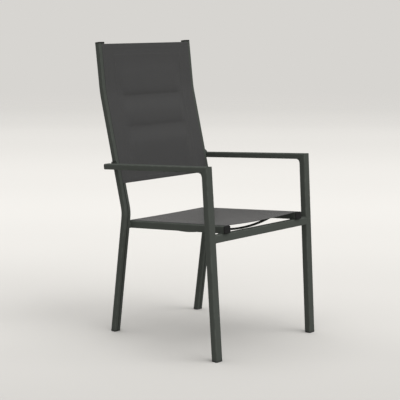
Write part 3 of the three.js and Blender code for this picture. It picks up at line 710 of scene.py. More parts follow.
def swell_points(places, pinned, pressure):
    """New places of a grid of fabric that pressure blows up between its pinned points."""
    bm = bmesh.new()
    spots = grid_surface(bm, places)
    fabric = mesh_object(bm, "swelling")
    held = fabric.vertex_groups.new(name="pinned")
    held.add([index for index, spot in enumerate(spots) if pinned[spot]], 1, "REPLACE")
    cloth = fabric.modifiers.new("Cloth", "CLOTH")
    for name, value in CLOTH_SETTINGS.items():
        setattr(cloth.settings, name, value)
    cloth.settings.vertex_group_mass = held.name
    cloth.settings.uniform_pressure_force = pressure
    cloth.settings.effector_weights.gravity = 0
    cloth.point_cache.frame_start = 1
    cloth.point_cache.frame_end = CLOTH_FRAMES
    scene = bpy.context.scene
    for step in range(1, CLOTH_FRAMES + 1):
        scene.frame_set(step)
    swollen = fabric.evaluated_get(bpy.context.evaluated_depsgraph_get())
    result = np.empty_like(places)
    for vertex, spot in zip(swollen.data.vertices, spots):
        result[spot] = vertex.co
    mesh = fabric.data
    bpy.data.objects.remove(fabric)
    bpy.data.meshes.remove(mesh)
    scene.frame_set(1)
    return result


def back_rows():
    """Heights of the padding's rows from the bottom up, and which of them are sewn through."""
    heights = []
    sewn = []
    for low, high in PAD_BANDS:
        count = round((high - low) / PAD_STEP)
        heights.extend(np.linspace(low, high, count, endpoint=False))
        sewn.extend([True] + [False] * (count - 1))
    return np.array([*heights, PAD_TOP]), np.array([*sewn, True])


def pad_columns():
    count = round(PAD_WIDTH / PAD_STEP)
    return np.linspace(-PAD_WIDTH / 2, PAD_WIDTH / 2, count + 1)


def plain_swell(u, z):
    """The padding's crown as a share, without simulation."""
    across = 2 * u / PAD_WIDTH
    share = np.zeros(np.broadcast(u, z).shape)
    for low, high in PAD_BANDS:
        along = (2 * z - low - high) / (high - low)
        inside = (z >= low) & (z <= high)
        crown = np.sqrt(np.clip((1 - along ** 4) * (1 - across ** 4), 0, 1))
        share = np.where(inside, np.maximum(share, crown), share)
    return share


SIDE_EASE = 0.045
END_EASE = 0.14
SLUMP_EASE = 0.07
FILL_POWER = 3.4
SMOOTHING_PASSES = 6
START_SWELL = 0.25
FULL_PERCENTILE = 99


def ease_in(distance, reach):
    """0 at no distance, growing smoothly to 1 at the reach."""
    share = np.clip(distance / reach, 0, 1)
    return share * share * (3 - 2 * share)


def border_ease(u, z):
    """How the padding tapers off towards its border."""
    ends = ease_in(z - PAD_BOTTOM, END_EASE) * ease_in(PAD_TOP - z, END_EASE)
    return ends * ease_in(PAD_WIDTH / 2 - abs(u), SIDE_EASE)


def slump(z):
    """Each channel's filling settles, so it starts slowly below the seam above it."""
    share = np.ones(z.shape)
    for low, high in PAD_BANDS:
        share = np.where((z > low) & (z <= high), ease_in(high - z, SLUMP_EASE), share)
    return share


def smoothed_across(height):
    """Heights without the small upright creases that the pressure leaves."""
    for _ in range(SMOOTHING_PASSES):
        beside = (height[:, :-2] + height[:, 2:]) / 2
        height[:, 1:-1] = (height[:, 1:-1] + beside) / 2
    return height


def simulated_swell(face, rest, outward, u, z, sewn):
    """The padding's crown as a share, from fabric that pressure blows up between its seams."""
    pinned = np.zeros(u.shape, bool)
    pinned[sewn] = True
    pinned[:, [0, -1]] = True
    start = rest + outward * (START_SWELL * plain_swell(u, z))[..., None]
    moved = swell_points(start, pinned, face * PRESSURE) - rest
    height = smoothed_across((moved * outward).sum(-1))
    return np.clip(height / np.percentile(height, FULL_PERCENTILE), 0, 1)


@functools.cache
def padding_shift(face):
    """How far each point of the padded field moves, as vectors. face is 1 in front and -1 behind."""
    heights, sewn = back_rows()
    u, z = np.meshgrid(pad_columns(), heights)
    crown = sizes().front_crown if face > 0 else sizes().rear_crown
    rest = on_back(u, FRONT_FACE + face * PAD_EDGE, z)
    outward = on_back(u, FRONT_FACE + face * (PAD_EDGE + crown), z) - rest
    height = simulated_swell(face, rest, outward, u, z, sewn)
    full = 1 - (1 - height) ** FILL_POWER
    return outward * (full * slump(z) * border_ease(u, z))[..., None]


# Points in a sling's fold over its slot's edge and in its turn round the keder rod
FOLD_POINTS = 5
HOOK_POINTS = 17


def arc_points(centre, radius, start, turn, count):
    """Points (u, v) along an arc of a circle."""
    angles = start + turn * np.linspace(0, 1, count)
    return [(centre[0] + radius * math.cos(a), centre[1] + radius * math.sin(a)) for a in angles]


def hooked_half(flat, slot_u, face_v):
    """One side of a sling, from its flat columns over the slotted face and round the keder rod."""
    half_fabric = sizes().fabric / 2
    rise = face_v + SEAT_GAP + half_fabric
    fold = (slot_u + TONGUE_OFFSET - FOLD_RADIUS, rise - FOLD_RADIUS)
    channel = (slot_u, face_v - SLOT_LIP - CHANNEL_RADIUS)
    hook = ROD_RADIUS + ROD_SLACK + half_fabric
    start = math.acos(TONGUE_OFFSET / hook)
    turn = HOOK_END - start - 2 * math.pi
    return [
        *((u, rise) for u in flat),
        *arc_points(fold, FOLD_RADIUS, math.pi / 2, -math.pi / 2, FOLD_POINTS),
        *arc_points(channel, hook, start, turn, HOOK_POINTS),
    ]


def both_sides(half):
    """A whole section from its right half, as arrays of u and v."""
    other = [(-u, v) for u, v in reversed(half) if u > 0]
    return np.array([*other, *half]).T


LOW_BORDER_ROWS = 5
HIGH_BORDER_ROWS = 9
LOW_HEM_SHARE = 0.8


def padded_panel(name, face, u, v):
    """One of the back's two panels: flat round the padding and swelling over it."""
    heights, _ = back_rows()
    low_rows = np.linspace(BACK_BOTTOM, PAD_BOTTOM, LOW_BORDER_ROWS)[:-1]
    high_rows = np.linspace(PAD_TOP, BACK_TOP, HIGH_BORDER_ROWS)[1:]
    rows = np.concatenate([low_rows, heights, high_rows])
    over_pad = abs(u) < PAD_WIDTH / 2 + MERGE_DISTANCE
    ease = np.interp(rows, (BACK_BOTTOM, PAD_BOTTOM, PAD_TOP, BACK_TOP), (0, 1, 1, 0))
    places = on_back(u, v + face * PAD_EDGE * ease[:, None] * over_pad, rows[:, None])
    places[np.ix_(np.isin(rows, heights), over_pad)] += padding_shift(face)
    hem = sizes().hem
    hem_rows = (rows > BACK_TOP - hem) | (rows < BACK_BOTTOM + hem * LOW_HEM_SHARE)
    return *cloth_piece(name, places, hem_rows), places, rows


# Sewing

STITCH_SINK = 0.5
STITCHES_AT_ONCE = 20


def along_path(points, pitch):
    """Pairs of a place and a way at even distances along a row of points."""
    distance = lengths(points)
    count = int(distance[-1] / pitch)
    spots = (np.arange(count) + 0.5) * distance[-1] / count

    def at(spots):
        return np.stack([np.interp(spots, distance, points[:, axis]) for axis in range(3)], axis=-1)

    return list(zip(at(spots), at(spots + pitch / 4) - at(spots - pitch / 4)))


def sew(bm, points, outward):
    """A row of stitches along points, standing out of the fabric the given way."""
    thread = sizes().thread
    lift = sizes().fabric / 2 + thread * (1 - 2 * STITCH_SINK)
    scale = Matrix.Diagonal((sizes().stitch / 2, thread, thread, 1))
    stitches = along_path(points, sizes().stitch_pitch)
    for first in range(0, len(stitches), STITCHES_AT_ONCE):
        few = bmesh.new()
        for place, way in stitches[first:first + STITCHES_AT_ONCE]:
            along = Vector(way).normalized()
            up = (outward - along * along.dot(outward)).normalized()
            turn = Matrix((along, up.cross(along), up)).transposed().to_4x4()
            spot = Matrix.Translation(Vector(place) + up * lift)
            bmesh.ops.create_uvsphere(
                few, u_segments=6, v_segments=4, radius=1, matrix=spot @ turn @ scale)
        mesh = bpy.data.meshes.new("stitches")
        few.to_mesh(mesh)
        few.free()
        bm.from_mesh(mesh)
        bpy.data.meshes.remove(mesh)


def sewn_piece(name, lines, outward):
    """A piece of sewing thread along lines of points."""
    bm = bmesh.new()
    for points in lines:
        sew(bm, points, outward)
    return to_piece(bm, name, sewing_thread())


def nearest(values, place):
    """The index of the value that lies nearest to a place."""
    return int(np.argmin(abs(values - place)))


def back_out(face):
    """The way out of one face of the back, at the middle of the padding."""
    way_y, way_z = forward_way((PAD_TOP + PAD_BOTTOM) / 2)
    return Vector((0, float(way_y), float(way_z))) * face


def back_sewing(name, face, u, places, rows):
    """Stitches of one panel: round the padding and along its channels."""
    left, right = (nearest(u, edge) for edge in (-PAD_WIDTH / 2, PAD_WIDTH / 2))
    seams = [nearest(rows, z) for z in (PAD_BOTTOM, LOWER_SEAM, UPPER_SEAM, PAD_TOP)]
    lines = [places[row, left:right + 1] for row in seams]
    lines += [places[seams[0]:seams[-1] + 1, column] for column in (left, right)]
    return sewn_piece(name, lines, back_out(face))


# Welds

WELD_DEPTH = 0.002
WELD_END = 0.0015
SMALL_WELD = 0.8
TIP_SHARE = 0.25
BUTT_RISE = 0.0006
PLATE_WELD = 0.0016
OVAL_STEPS = 36
RIPPLE_PITCH = 0.0021
RIPPLE_SHARE = 0.05
STEPS_PER_RIPPLE = 4
LEAST_STEPS = 8
FILLET_POINTS = 7
BUTT_POINTS = 9


def fillet_section(leg):
    """A concave fillet between two faces at right angles, as distances along each of them."""
    arc = arc_points((leg, leg), leg, -math.pi / 2, -math.pi / 2, FILLET_POINTS)
    corner = (-WELD_DEPTH, -WELD_DEPTH)
    return [corner, (leg, -WELD_DEPTH), *arc, (-WELD_DEPTH, leg), corner]


def butt_section(half):
    """A low bead over two flush faces, as distances across the joint and out of the faces."""
    angles = np.linspace(0, math.pi, BUTT_POINTS)
    arc = [(half * math.cos(a), BUTT_RISE * math.sin(a)) for a in angles]
    return [(-half, -WELD_DEPTH), (half, -WELD_DEPTH), *arc, (-half, -WELD_DEPTH)]


def ripple(distance):
    """How the beads of a weld swell it at distances along it."""
    return 1 + RIPPLE_SHARE * np.sin(2 * math.pi * distance / RIPPLE_PITCH)


def weld_run(bm, ends, ways, share=1, section=None):
    """A straight weld along a corner between two ends, with the ways from the corner over each face."""
    start, end = (np.array(point) for point in ends)
    leg = sizes().weld * share
    length = float(np.linalg.norm(end - start))
    steps = max(LEAST_STEPS, round(length / RIPPLE_PITCH * STEPS_PER_RIPPLE))
    distance = np.linspace(0, length, steps + 1)
    to_end = np.minimum(distance, length - distance)
    taper = TIP_SHARE + (1 - TIP_SHARE) * np.sin(math.pi / 2 * np.clip(to_end / (2 * leg), 0, 1))
    offsets = np.array(section or fillet_section(leg)) @ [Vector(way).normalized() for way in ways]
    corner = start + np.outer(distance / length, end - start)
    places = corner[:, None] + (ripple(distance) * taper)[:, None, None] * offsets
    grid_surface(bm, places, looped=True)
    close_holes(bm)


def weld_loop(bm, x, way):
    """A fillet weld round a spreader's bar, on its plate's face at x, which looks along x that way."""
    angles = np.linspace(0, 2 * math.pi, OVAL_STEPS, endpoint=False)
    circle = np.stack([np.cos(angles), np.sin(angles)], axis=-1)
    oval = circle * (BAR_WIDTH / 2, BAR_THICKNESS / 2)
    outward = circle / (BAR_WIDTH, BAR_THICKNESS)
    outward /= np.linalg.norm(outward, axis=1, keepdims=True)
    beads = ripple(np.cumsum(np.linalg.norm(oval - np.roll(oval, 1, axis=0), axis=1)))
    along, out = np.array(fillet_section(PLATE_WELD)).T
    places = np.empty((OVAL_STEPS + 1, len(along), 3))
    places[:-1, :, 0] = x + way * np.outer(beads, along)
    places[:-1, :, 1:] = oval[:, None] + outward[:, None] * np.outer(beads, out)[..., None]
    places[-1] = places[0]
    grid_surface(bm, places, looped=True)


# Operators

class ChairOperator:
    """What the chair's operators share."""
    bl_options = {"REGISTER", "UNDO"}


class CHAIR_OT_tubes(ChairOperator, bpy.types.Operator):
    """Powder-coated tubes of the frame, with smooth bends and rounded ends"""
    bl_idname = "chair.tubes"
    bl_label = "Frame tubes"

    def execute(self, context):
        parts = ("upright", "front_leg", "arm", "seat_rail")
        nodes = [f"{part}_{side}" for part in parts for side, _ in SIDES]
        for node in (*nodes, "front_crossbar", "rear_crossbar"):
            rounded_copy(node, f"{node}_tube", powder_coat(), sizes().edge_round)
        return {"FINISHED"}


class CHAIR_OT_plastics(ChairOperator, bpy.types.Operator):
    """Black caps on the tube ends and glides under the feet"""
    bl_idname = "chair.plastics"
    bl_label = "Caps and glides"

    def execute(self, context):
        finishes = {
            "upright_top_cap": cap_plastic,
            "arm_end_cap": cap_plastic,
            "seat_rail_front_cap": cap_plastic,
            "seat_rail_rear_cap": cap_plastic,
            "front_foot_glide": glide_plastic,
            "rear_foot_glide": glide_plastic,
        }
        for part, finish in finishes.items():
            for side, _ in SIDES:
                node = f"{part}_{side}"
                rounded_copy(node, f"{node}_moulding", finish(), sizes().edge_round)
        return {"FINISHED"}


BAR_SIDES = 28
BAR_STEPS = 44
PLATE_ROUND = 0.0005


def bowed_bar(name, node, half_span, bow, matrix):
    """A flat oval bar bent to an arc between two screwed end plates, which stands for its node."""
    bm = bmesh.new()
    reach = half_span - PLATE_THICKNESS / 2
    radius = (reach * reach + bow * bow) / (2 * bow)
    half_angle = math.asin(reach / radius)
    centre = Vector((0, 0, radius - bow))
    end = (
        Matrix.Translation(centre) @ Matrix.Rotation(half_angle, 4, "Y")
        @ Matrix.Translation((0, 0, -radius)) @ Matrix.Rotation(math.pi / 2, 4, "Y")
        @ Matrix.Diagonal((BAR_THICKNESS / 2, BAR_WIDTH / 2, 1, 1))
    )
    bmesh.ops.create_circle(bm, segments=BAR_SIDES, radius=1, cap_ends=False, matrix=end)
    bmesh.ops.spin(
        bm, geom=bm.edges[:], cent=centre, axis=(0, 1, 0), dvec=(0, 0, 0), angle=-2 * half_angle,
        steps=BAR_STEPS, use_merge=False, use_duplicate=False)
    close_holes(bm)
    for _, sign in SIDES:
        place = Matrix.Translation((sign * reach, 0, 0))
        size = Matrix.Diagonal((PLATE_THICKNESS, PLATE_LENGTH, PLATE_HEIGHT, 1))
        plate = bmesh.ops.create_cube(bm, size=1, matrix=place @ size)["verts"]
        long_edges = {
            edge for vertex in plate for edge in vertex.link_edges
            if abs(edge.verts[0].co.x - edge.verts[1].co.x) > PLATE_THICKNESS / 2
        }
        round_edges(bm, list(long_edges), PLATE_CORNER, segments=5)
        weld_loop(bm, sign * (half_span - PLATE_THICKNESS), -sign)
    rims = [
        edge for edge in bm.edges
        if edge.is_manifold and edge.calc_face_angle(0) > SHARP_ANGLE
        and abs(edge.verts[0].co.x) > half_span - PLATE_THICKNESS * 1.1
        and abs(edge.verts[0].co.x - edge.verts[1].co.x) < MERGE_DISTANCE
        and edge.calc_length() > MERGE_DISTANCE
    ]
    round_edges(bm, rims, PLATE_ROUND)
    bmesh.ops.recalc_face_normals(bm, faces=bm.faces)
    bmesh.ops.transform(bm, matrix=matrix, verts=bm.verts)
    piece = to_piece(bm, name, powder_coat())
    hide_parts(node)


FRONT_BAR_REACH = 0.194
FRONT_BAR_DROP = 0.013
FRONT_BAR_BOW = 0.024
MIDDLE_BAR_SETBACK = 0.004
MIDDLE_BAR_DROP = 0.0192
MIDDLE_BAR_BOW = 0.036
BACK_BAR_HEIGHTS = {"lower": 0.64, "upper": 1.015}
BACK_BAR_BOW = 0.026


def back_bar_matrix(z):
    """A spreader's own axes on the back: its bow points to the rear."""
    way_y, way_z = (float(part) for part in forward_way(z))
    place = on_back(0.0, 0.0, z)
    turn = Matrix(((1, 0, 0), (0, way_z, way_y), (0, -way_y, way_z))).to_4x4()
    return Matrix.Translation(place) @ turn


class CHAIR_OT_spreaders(ChairOperator, bpy.types.Operator):
    """Curved bars that hold the rails and the uprights apart"""
    bl_idname = "chair.spreaders"
    bl_label = "Spreader bars"

    def execute(self, context):
        seat_span = RAIL_INNER_X - TUBE_GAP
        back_span = UPRIGHT_INNER_X - TUBE_GAP
        front = SEAT_MATRIX @ Matrix.Translation((0, -FRONT_BAR_REACH, -FRONT_BAR_DROP))
        middle = SEAT_MATRIX @ Matrix.Translation((0, MIDDLE_BAR_SETBACK, -MIDDLE_BAR_DROP))
        bowed_bar("seat_spreader_front_bar", "seat_spreader_front", seat_span, FRONT_BAR_BOW, front)
        bowed_bar("seat_spreader_middle_bar", "seat_spreader_middle", seat_span, MIDDLE_BAR_BOW, middle)
        for name, z in BACK_BAR_HEIGHTS.items():
            node = f"back_spreader_{name}"
            bowed_bar(f"{node}_bar", node, back_span, BACK_BAR_BOW, back_bar_matrix(z))
        return {"FINISHED"}


# Button-head screw
SCREW_FACETS = 24
HEAD_RADIUS = 0.0042
HEAD_HEIGHT = 0.0026
SHANK_RADIUS = 0.0023
SHANK_LENGTH = 0.009
SOCKET_RADIUS = 0.00145
SOCKET_DEPTH = 0.0015


def screw_rings():
    """Rings from a screw's tip to its socket's floor: radius, height, and how far each is a hexagon."""
    dome = [
        (HEAD_RADIUS * (0.62 + 0.38 * math.cos(angle)), HEAD_HEIGHT * (0.35 + 0.65 * math.sin(angle)), 0)
        for angle in np.linspace(0, math.pi / 2, 6)
    ]
    return [
        (SHANK_RADIUS * 0.7, -SHANK_LENGTH, 0),
        (SHANK_RADIUS, -SHANK_LENGTH + SHANK_RADIUS * 0.3, 0),
        (SHANK_RADIUS, 0, 0),
        (HEAD_RADIUS * 0.97, 0, 0),
        (HEAD_RADIUS, HEAD_HEIGHT * 0.08, 0),
        *dome,
        (SOCKET_RADIUS * 1.12, HEAD_HEIGHT, 0.7),
        (SOCKET_RADIUS, HEAD_HEIGHT * 0.96, 1),
        (SOCKET_RADIUS, HEAD_HEIGHT - SOCKET_DEPTH, 1),
        (SOCKET_RADIUS * 0.3, HEAD_HEIGHT - SOCKET_DEPTH * 1.2, 0.3),
    ]


def hexagon_share(angle):
    """Radius of a hexagon of corner radius 1 at an angle."""
    return math.cos(math.pi / 6) / math.cos(angle % (math.pi / 3) - math.pi / 6)


def socket_screw(bm):
    """A button-head screw with a hexagon socket along +Z, its head standing on z = 0."""
    previous = None
    for radius, height, hexness in screw_rings():
        ring = bmesh.ops.create_circle(bm, segments=SCREW_FACETS, radius=radius, cap_ends=False)["verts"]
        for vertex in ring:
            angle = math.atan2(vertex.co.y, vertex.co.x)
            vertex.co *= 1 + hexness * (hexagon_share(angle) - 1)
            vertex.co.z = height
        edges = list({edge for vertex in ring for edge in vertex.link_edges})
        if previous:
            bmesh.ops.bridge_loops(bm, edges=[*previous, *edges])
        previous = edges
    close_holes(bm)
    bmesh.ops.recalc_face_normals(bm, faces=bm.faces)


class CHAIR_OT_screws(ChairOperator, bpy.types.Operator):
    """Stainless button-head screws that hold the spreaders"""
    bl_idname = "chair.screws"
    bl_label = "Screws"

    def execute(self, context):
        for node in sorted(name for name in frame["nodes"] if "_screw_" in name):
            low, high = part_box(node)
            sign = 1 if low.x > 0 else -1
            head_x = low.x if sign > 0 else high.x
            bm = bmesh.new()
            socket_screw(bm)
            turn = Matrix.Rotation(-sign * math.pi / 2, 4, "Y")
            spot = Vector((head_x + sign * HEAD_HEIGHT, (low.y + high.y) / 2, (low.z + high.z) / 2))
            bmesh.ops.transform(bm, matrix=Matrix.Translation(spot) @ turn, verts=bm.verts)
            piece = to_piece(bm, f"{node}_socket_head", screw_steel())
            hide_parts(node)
        return {"FINISHED"}


FRONT_MARGIN_STEPS = 7
REAR_MARGIN_STEPS = 5


class CHAIR_OT_back(ChairOperator, bpy.types.Operator):
    """Padded back: a front panel hooked into the uprights, a rear panel and the foam between them"""
    bl_idname = "chair.back"
    bl_label = "Padded back"

    def execute(self, context):
        pad = pad_columns()
        right_pad = pad[pad >= -MERGE_DISTANCE]
        tongue = UPRIGHT_X + TONGUE_OFFSET - FOLD_RADIUS
        margin = np.linspace(PAD_WIDTH / 2 + PAD_MARGIN, tongue, FRONT_MARGIN_STEPS)[:-1]
        u, v = both_sides(hooked_half([*right_pad, *margin], UPRIGHT_X, FRONT_FACE))
        front, flat, places, rows = padded_panel("back_front_panel", 1, u, v)
        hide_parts("back_sling_front_panel")
        front_sewing = back_sewing("back_front_stitching", 1, u, places, rows)

        edge = UPRIGHT_INNER_X - REAR_PANEL_INSET
        margin = np.linspace(PAD_WIDTH / 2 + PAD_MARGIN, edge, REAR_MARGIN_STEPS)
        half = [(across, FRONT_FACE - sizes().fabric / 2) for across in [*right_pad, *margin]]
        u, v = both_sides(half)
        rear, flat, places, rows = padded_panel("back_rear_panel", -1, u, v)
        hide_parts("back_sling_rear_panel")
        rear_sewing = back_sewing("back_rear_stitching", -1, u, places, rows)

        foam = foam_insert()
        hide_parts("back_padding")
        return {"FINISHED"}


def foam_insert():
    """The foam between the panels, thin where it is sewn through."""
    heights, _ = back_rows()
    u, z = np.meshgrid(pad_columns(), heights)
    front = on_back(u, FRONT_FACE + PAD_EDGE, z) + padding_shift(1)
    rear = on_back(u, FRONT_FACE - PAD_EDGE + SEAT_GAP, z) + padding_shift(-1)
    bm = bmesh.new()
    grid_surface(bm, front)
    grid_surface(bm, rear[:, ::-1])
    bmesh.ops.bridge_loops(bm, edges=[edge for edge in bm.edges if edge.is_boundary])
    bmesh.ops.recalc_face_normals(bm, faces=bm.faces)
    return to_piece(bm, "back_foam_insert", padding_foam())


SEAT_HEM_STEPS = 4


class CHAIR_OT_seat(ChairOperator, bpy.types.Operator):
    """Seat sling, drawn tight between the rails and sagging a little in the middle"""
    bl_idname = "chair.seat"
    bl_label = "Seat sling"

    def execute(self, context):
        front = RAIL_FRONT + SEAT_END_GAP
        rear = RAIL_REAR - SEAT_END_GAP
        tongue = RAIL_X + TONGUE_OFFSET - FOLD_RADIUS
        columns = np.linspace(0, tongue, round(tongue / SEAT_STEP))[:-1]
        u, v = both_sides(hooked_half(columns, RAIL_X, 0))
        hem = sizes().hem
        ends = np.linspace(0, hem, SEAT_HEM_STEPS)
        middle = np.linspace(front + hem, rear - hem, round((rear - front - 2 * hem) / SEAT_STEP))[1:-1]
        y = np.concatenate([front + ends, middle, rear - ends[::-1]])
        hollow = np.clip(1 - (u / RAIL_INNER_X) ** 2, 0, None)
        along = ((rear - y) / (rear - front))[:, None]
        ends_sag = SEAT_REAR_SAG + (SEAT_FRONT_SAG - SEAT_REAR_SAG) * along
        sag = hollow * (ends_sag + SEAT_SAG * np.sin(math.pi * along))
        places = on_seat(u, y[:, None], v - sag)
        hem_rows = (y < front + hem + MERGE_DISTANCE) | (y > rear - hem - MERGE_DISTANCE)
        piece, flat = cloth_piece("seat_sling_sheet", places, hem_rows)
        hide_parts("seat_sling")
        inside = abs(u) < RAIL_INNER_X
        lines = [places[nearest(y, place)][inside] for place in (front + hem, rear - hem)]
        stitching = sewn_piece("seat_hem_stitching", lines, Vector((0, 0, 1)))
        return {"FINISHED"}


ROD_ROUND = 0.0002


class CHAIR_OT_rods(ChairOperator, bpy.types.Operator):
    """Keder rods that lock the slings' edges in the slots"""
    bl_idname = "chair.rods"
    bl_label = "Keder rods"

    def execute(self, context):
        for part in ("back_keder_rod", "seat_keder_rod"):
            for side, _ in SIDES:
                node = f"{part}_{side}"
                rounded_copy(node, f"{node}_extrusion", rod_plastic(), ROD_ROUND)
        return {"FINISHED"}


# Rounds of the search for where a tilted tube crosses an upright's bent line
JOINT_PASSES = 4


def lap_welds(bm, sign, bar_side, x, middle, half, along):
    """Fillets where a bar crosses an upright's side. bar_side is 1 outside the uprights, -1 inside."""
    outward = Vector((sign * bar_side, 0, 0))
    up = Vector((1, 0, 0)).cross(along)
    low, high = middle - half, middle + half
    for face in (1, -1):
        ends = (on_back(x, face * UPRIGHT_DEPTH / 2, z) for z in (low + WELD_END, high - WELD_END))
        weld_run(bm, ends, (along * face, -outward))
    reach = along * (UPRIGHT_DEPTH / 2 - WELD_END)
    for height, way in ((high, up), (low, -up)):
        centre = Vector(on_back(x, 0.0, height))
        weld_run(bm, (centre - reach, centre + reach), (way, outward))


def seat_way(vector):
    """A way in the seat's axes as a way of the frame."""
    return SEAT_MATRIX.to_3x3() @ Vector(vector)


def rail_joint(bm, sign):
    """The rail against the inner side of its upright."""
    middle = SEAT_HEIGHT - RAIL_HEIGHT / 2
    for _ in range(JOINT_PASSES):
        middle = float(on_seat(0, line_y(middle), -RAIL_HEIGHT / 2)[2])
    half = RAIL_HEIGHT / 2 / math.cos(FRAME_TILT)
    lap_welds(bm, sign, -1, sign * RAIL_OUTER_X, middle, half, seat_way((0, -1, 0)))


def arm_joint(bm, sign):
    """The arm against the outer side of its upright."""
    matrix = side_matrix(sign)
    way = matrix.to_3x3() @ Vector((0, 1, 0))
    middle = SEAT_HEIGHT + ARM_HEIGHT
    for _ in range(JOINT_PASSES):
        reach = (float(line_y(middle)) + SHIFT - matrix.translation.y) / way.y
        middle = (matrix.translation + way * reach).z
    lap_welds(bm, sign, 1, sign * UPRIGHT_OUTER_X, middle, ARM_THICKNESS / 2 / way.y, -way)


def crossbar_joint(bm, sign):
    """The ends of the front crossbar against the inner face of a leg, all round."""
    matrix = side_matrix(sign)
    face_point = matrix @ Vector((-sign * LEG_WIDTH / 2, 0, 0))
    normal = matrix.to_3x3() @ Vector((1, 0, 0))
    leg_way = matrix.to_3x3() @ Vector((0, 0, 1))
    reach = LEG_DEPTH / 2 - WELD_END

    def on_leg(y, z):
        point = SEAT_MATRIX @ Vector((0, y, z))
        off = point - face_point
        point.x = face_point.x - (normal.y * off.y + normal.z * off.z) / normal.x
        return point

    for height, way in ((CROSSBAR_TOP, leg_way), (CROSSBAR_TOP - CROSSBAR_HEIGHT, -leg_way)):
        ends = (on_leg(CROSSBAR_Y + y, height) for y in (-reach, reach))
        weld_run(bm, ends, (way, (-sign, 0, 0)))
    section = butt_section(sizes().weld * SMALL_WELD)
    for face in (-1, 1):
        y = CROSSBAR_Y + face * LEG_DEPTH / 2
        ends = (on_leg(y, CROSSBAR_TOP - drop) for drop in (WELD_END, CROSSBAR_HEIGHT - WELD_END))
        weld_run(bm, ends, ((sign, 0, 0), seat_way((0, face, 0))), section=section)


def rail_seat(bm, sign):
    """Both sides of a rail where it lies on the crossbar."""
    reach = LEG_DEPTH / 2 - TUBE_CORNER / 2
    for side in (1, -1):
        x = sign * RAIL_X + side * RAIL_WIDTH / 2
        ends = (on_seat(x, CROSSBAR_Y + y, CROSSBAR_TOP) for y in (-reach, reach))
        weld_run(bm, ends, ((side, 0, 0), seat_way((0, 0, 1))))


def rear_bar_joint(bm, sign):
    """The rear crossbar's end against a rail's inner side: above, in front and behind."""
    top = -REAR_BAR_DROP
    bottom = top - REAR_BAR_HEIGHT + TUBE_CORNER
    front = REAR_BAR_REACH - REAR_BAR_DEPTH / 2
    rear = REAR_BAR_REACH + REAR_BAR_DEPTH / 2
    edges = (
        ((front, top), (rear, top), (0, 0, 1)),
        ((front, bottom), (front, top), (0, -1, 0)),
        ((rear, bottom), (rear, top), (0, 1, 0)),
    )
    for *points, way in edges:
        ends = (on_seat(sign * RAIL_INNER_X, *point) for point in points)
        weld_run(bm, ends, (seat_way(way), (-sign, 0, 0)), SMALL_WELD)


class CHAIR_OT_welds(ChairOperator, bpy.types.Operator):
    """Fillet welds where tubes meet"""
    bl_idname = "chair.welds"
    bl_label = "Welds"

    def execute(self, context):
        joints = {
            "weld_rail_to_upright": rail_joint,
            "weld_arm_to_upright": arm_joint,
            "weld_crossbar_to_leg": crossbar_joint,
            "weld_rail_to_crossbar": rail_seat,
            "weld_rear_bar_to_rail": rear_bar_joint,
        }
        for name, joint in joints.items():
            for side, sign in SIDES:
                bm = bmesh.new()
                joint(bm, sign)
                bmesh.ops.recalc_face_normals(bm, faces=bm.faces)
                to_piece(bm, f"{name}_{side}", powder_coat())
        return {"FINISHED"}


# Stage

FLOOR_REACH = 14.0
FADE_START = 8.0
FLOOR_WAY = (0.731, 0.682, 0)
FLOOR_FRONT = 1.0
# Floor tones at distances behind the chair, in metres, as shares of the backdrop's colour: a painted
# pool of light, darker in front of the chair, lightest some 3 m behind it and darker again far off
FLOOR_LIGHT_STOPS = (
    (-1.0, 0.69), (-0.4, 0.73), (0.1, 0.80), (0.7, 0.83), (1.8, 0.88), (2.8, 0.905), (4.1, 0.875),
    (6.9, 0.80), (9.0, 0.745), (11.0, 0.705),
)
FLOOR_SIDES = 96
WORLD_COLOUR = (1, 0.995, 0.985, 1)
WORLD_STRENGTH = 0.56


def floor_material():
    """The floor's tones from front to back, a painted pool of light, which fade into the backdrop."""
    made = bpy.data.materials.new("Studio floor")
    tree = empty_tree(made)
    place = object_place(tree)
    behind = add(tree, "ShaderNodeVectorMath", {0: place, 1: FLOOR_WAY}, operation="DOT_PRODUCT")
    from_front = compute(tree, "ADD", behind.outputs["Value"], FLOOR_FRONT)
    stops = add(tree, "ShaderNodeValToRGB", {"Fac": compute(tree, "DIVIDE", from_front, FLOOR_REACH)})
    elements = stops.color_ramp.elements
    for index, (reach, factor) in enumerate(FLOOR_LIGHT_STOPS):
        position = (reach + FLOOR_FRONT) / FLOOR_REACH
        stop = elements[index] if index < 2 else elements.new(position)
        stop.position = position
        stop.color = shade(colours().floor, factor)
    stops.color_ramp.interpolation = "EASE"
    diffuse = add(tree, "ShaderNodeBsdfDiffuse", {"Color": stops.outputs["Color"]})
    clear = add(tree, "ShaderNodeBsdfTransparent")
    distance = add(tree, "ShaderNodeVectorMath", {0: place}, operation="LENGTH").outputs["Value"]
    fade = ramp(tree, distance, FADE_START, FLOOR_REACH)
    mix = add(tree, "ShaderNodeMixShader", {0: fade, 1: diffuse.outputs[0], 2: clear.outputs[0]})
    add(tree, "ShaderNodeOutputMaterial", {"Surface": mix.outputs[0]})
    return made


def world_light():
    """Even light on the object, and a plain backdrop where the camera or a reflection sees it."""
    bpy.context.scene.world = bpy.data.worlds.new("Studio")
    tree = empty_tree(bpy.context.scene.world)
    light = add(tree, "ShaderNodeBackground", {"Color": WORLD_COLOUR, "Strength": WORLD_STRENGTH})
    seen = add(tree, "ShaderNodeBackground", {"Color": shade(colours().floor), "Strength": 1.0})
    path = add(tree, "ShaderNodeLightPath").outputs
    direct = compute(tree, "MAXIMUM", path["Is Camera Ray"], path["Is Transmission Ray"])
    visible = compute(tree, "MAXIMUM", direct, path["Is Glossy Ray"])
    mix = add(tree, "ShaderNodeMixShader", {0: visible, 1: light.outputs[0], 2: seen.outputs[0]})
    add(tree, "ShaderNodeOutputWorld", {"Surface": mix.outputs[0]})


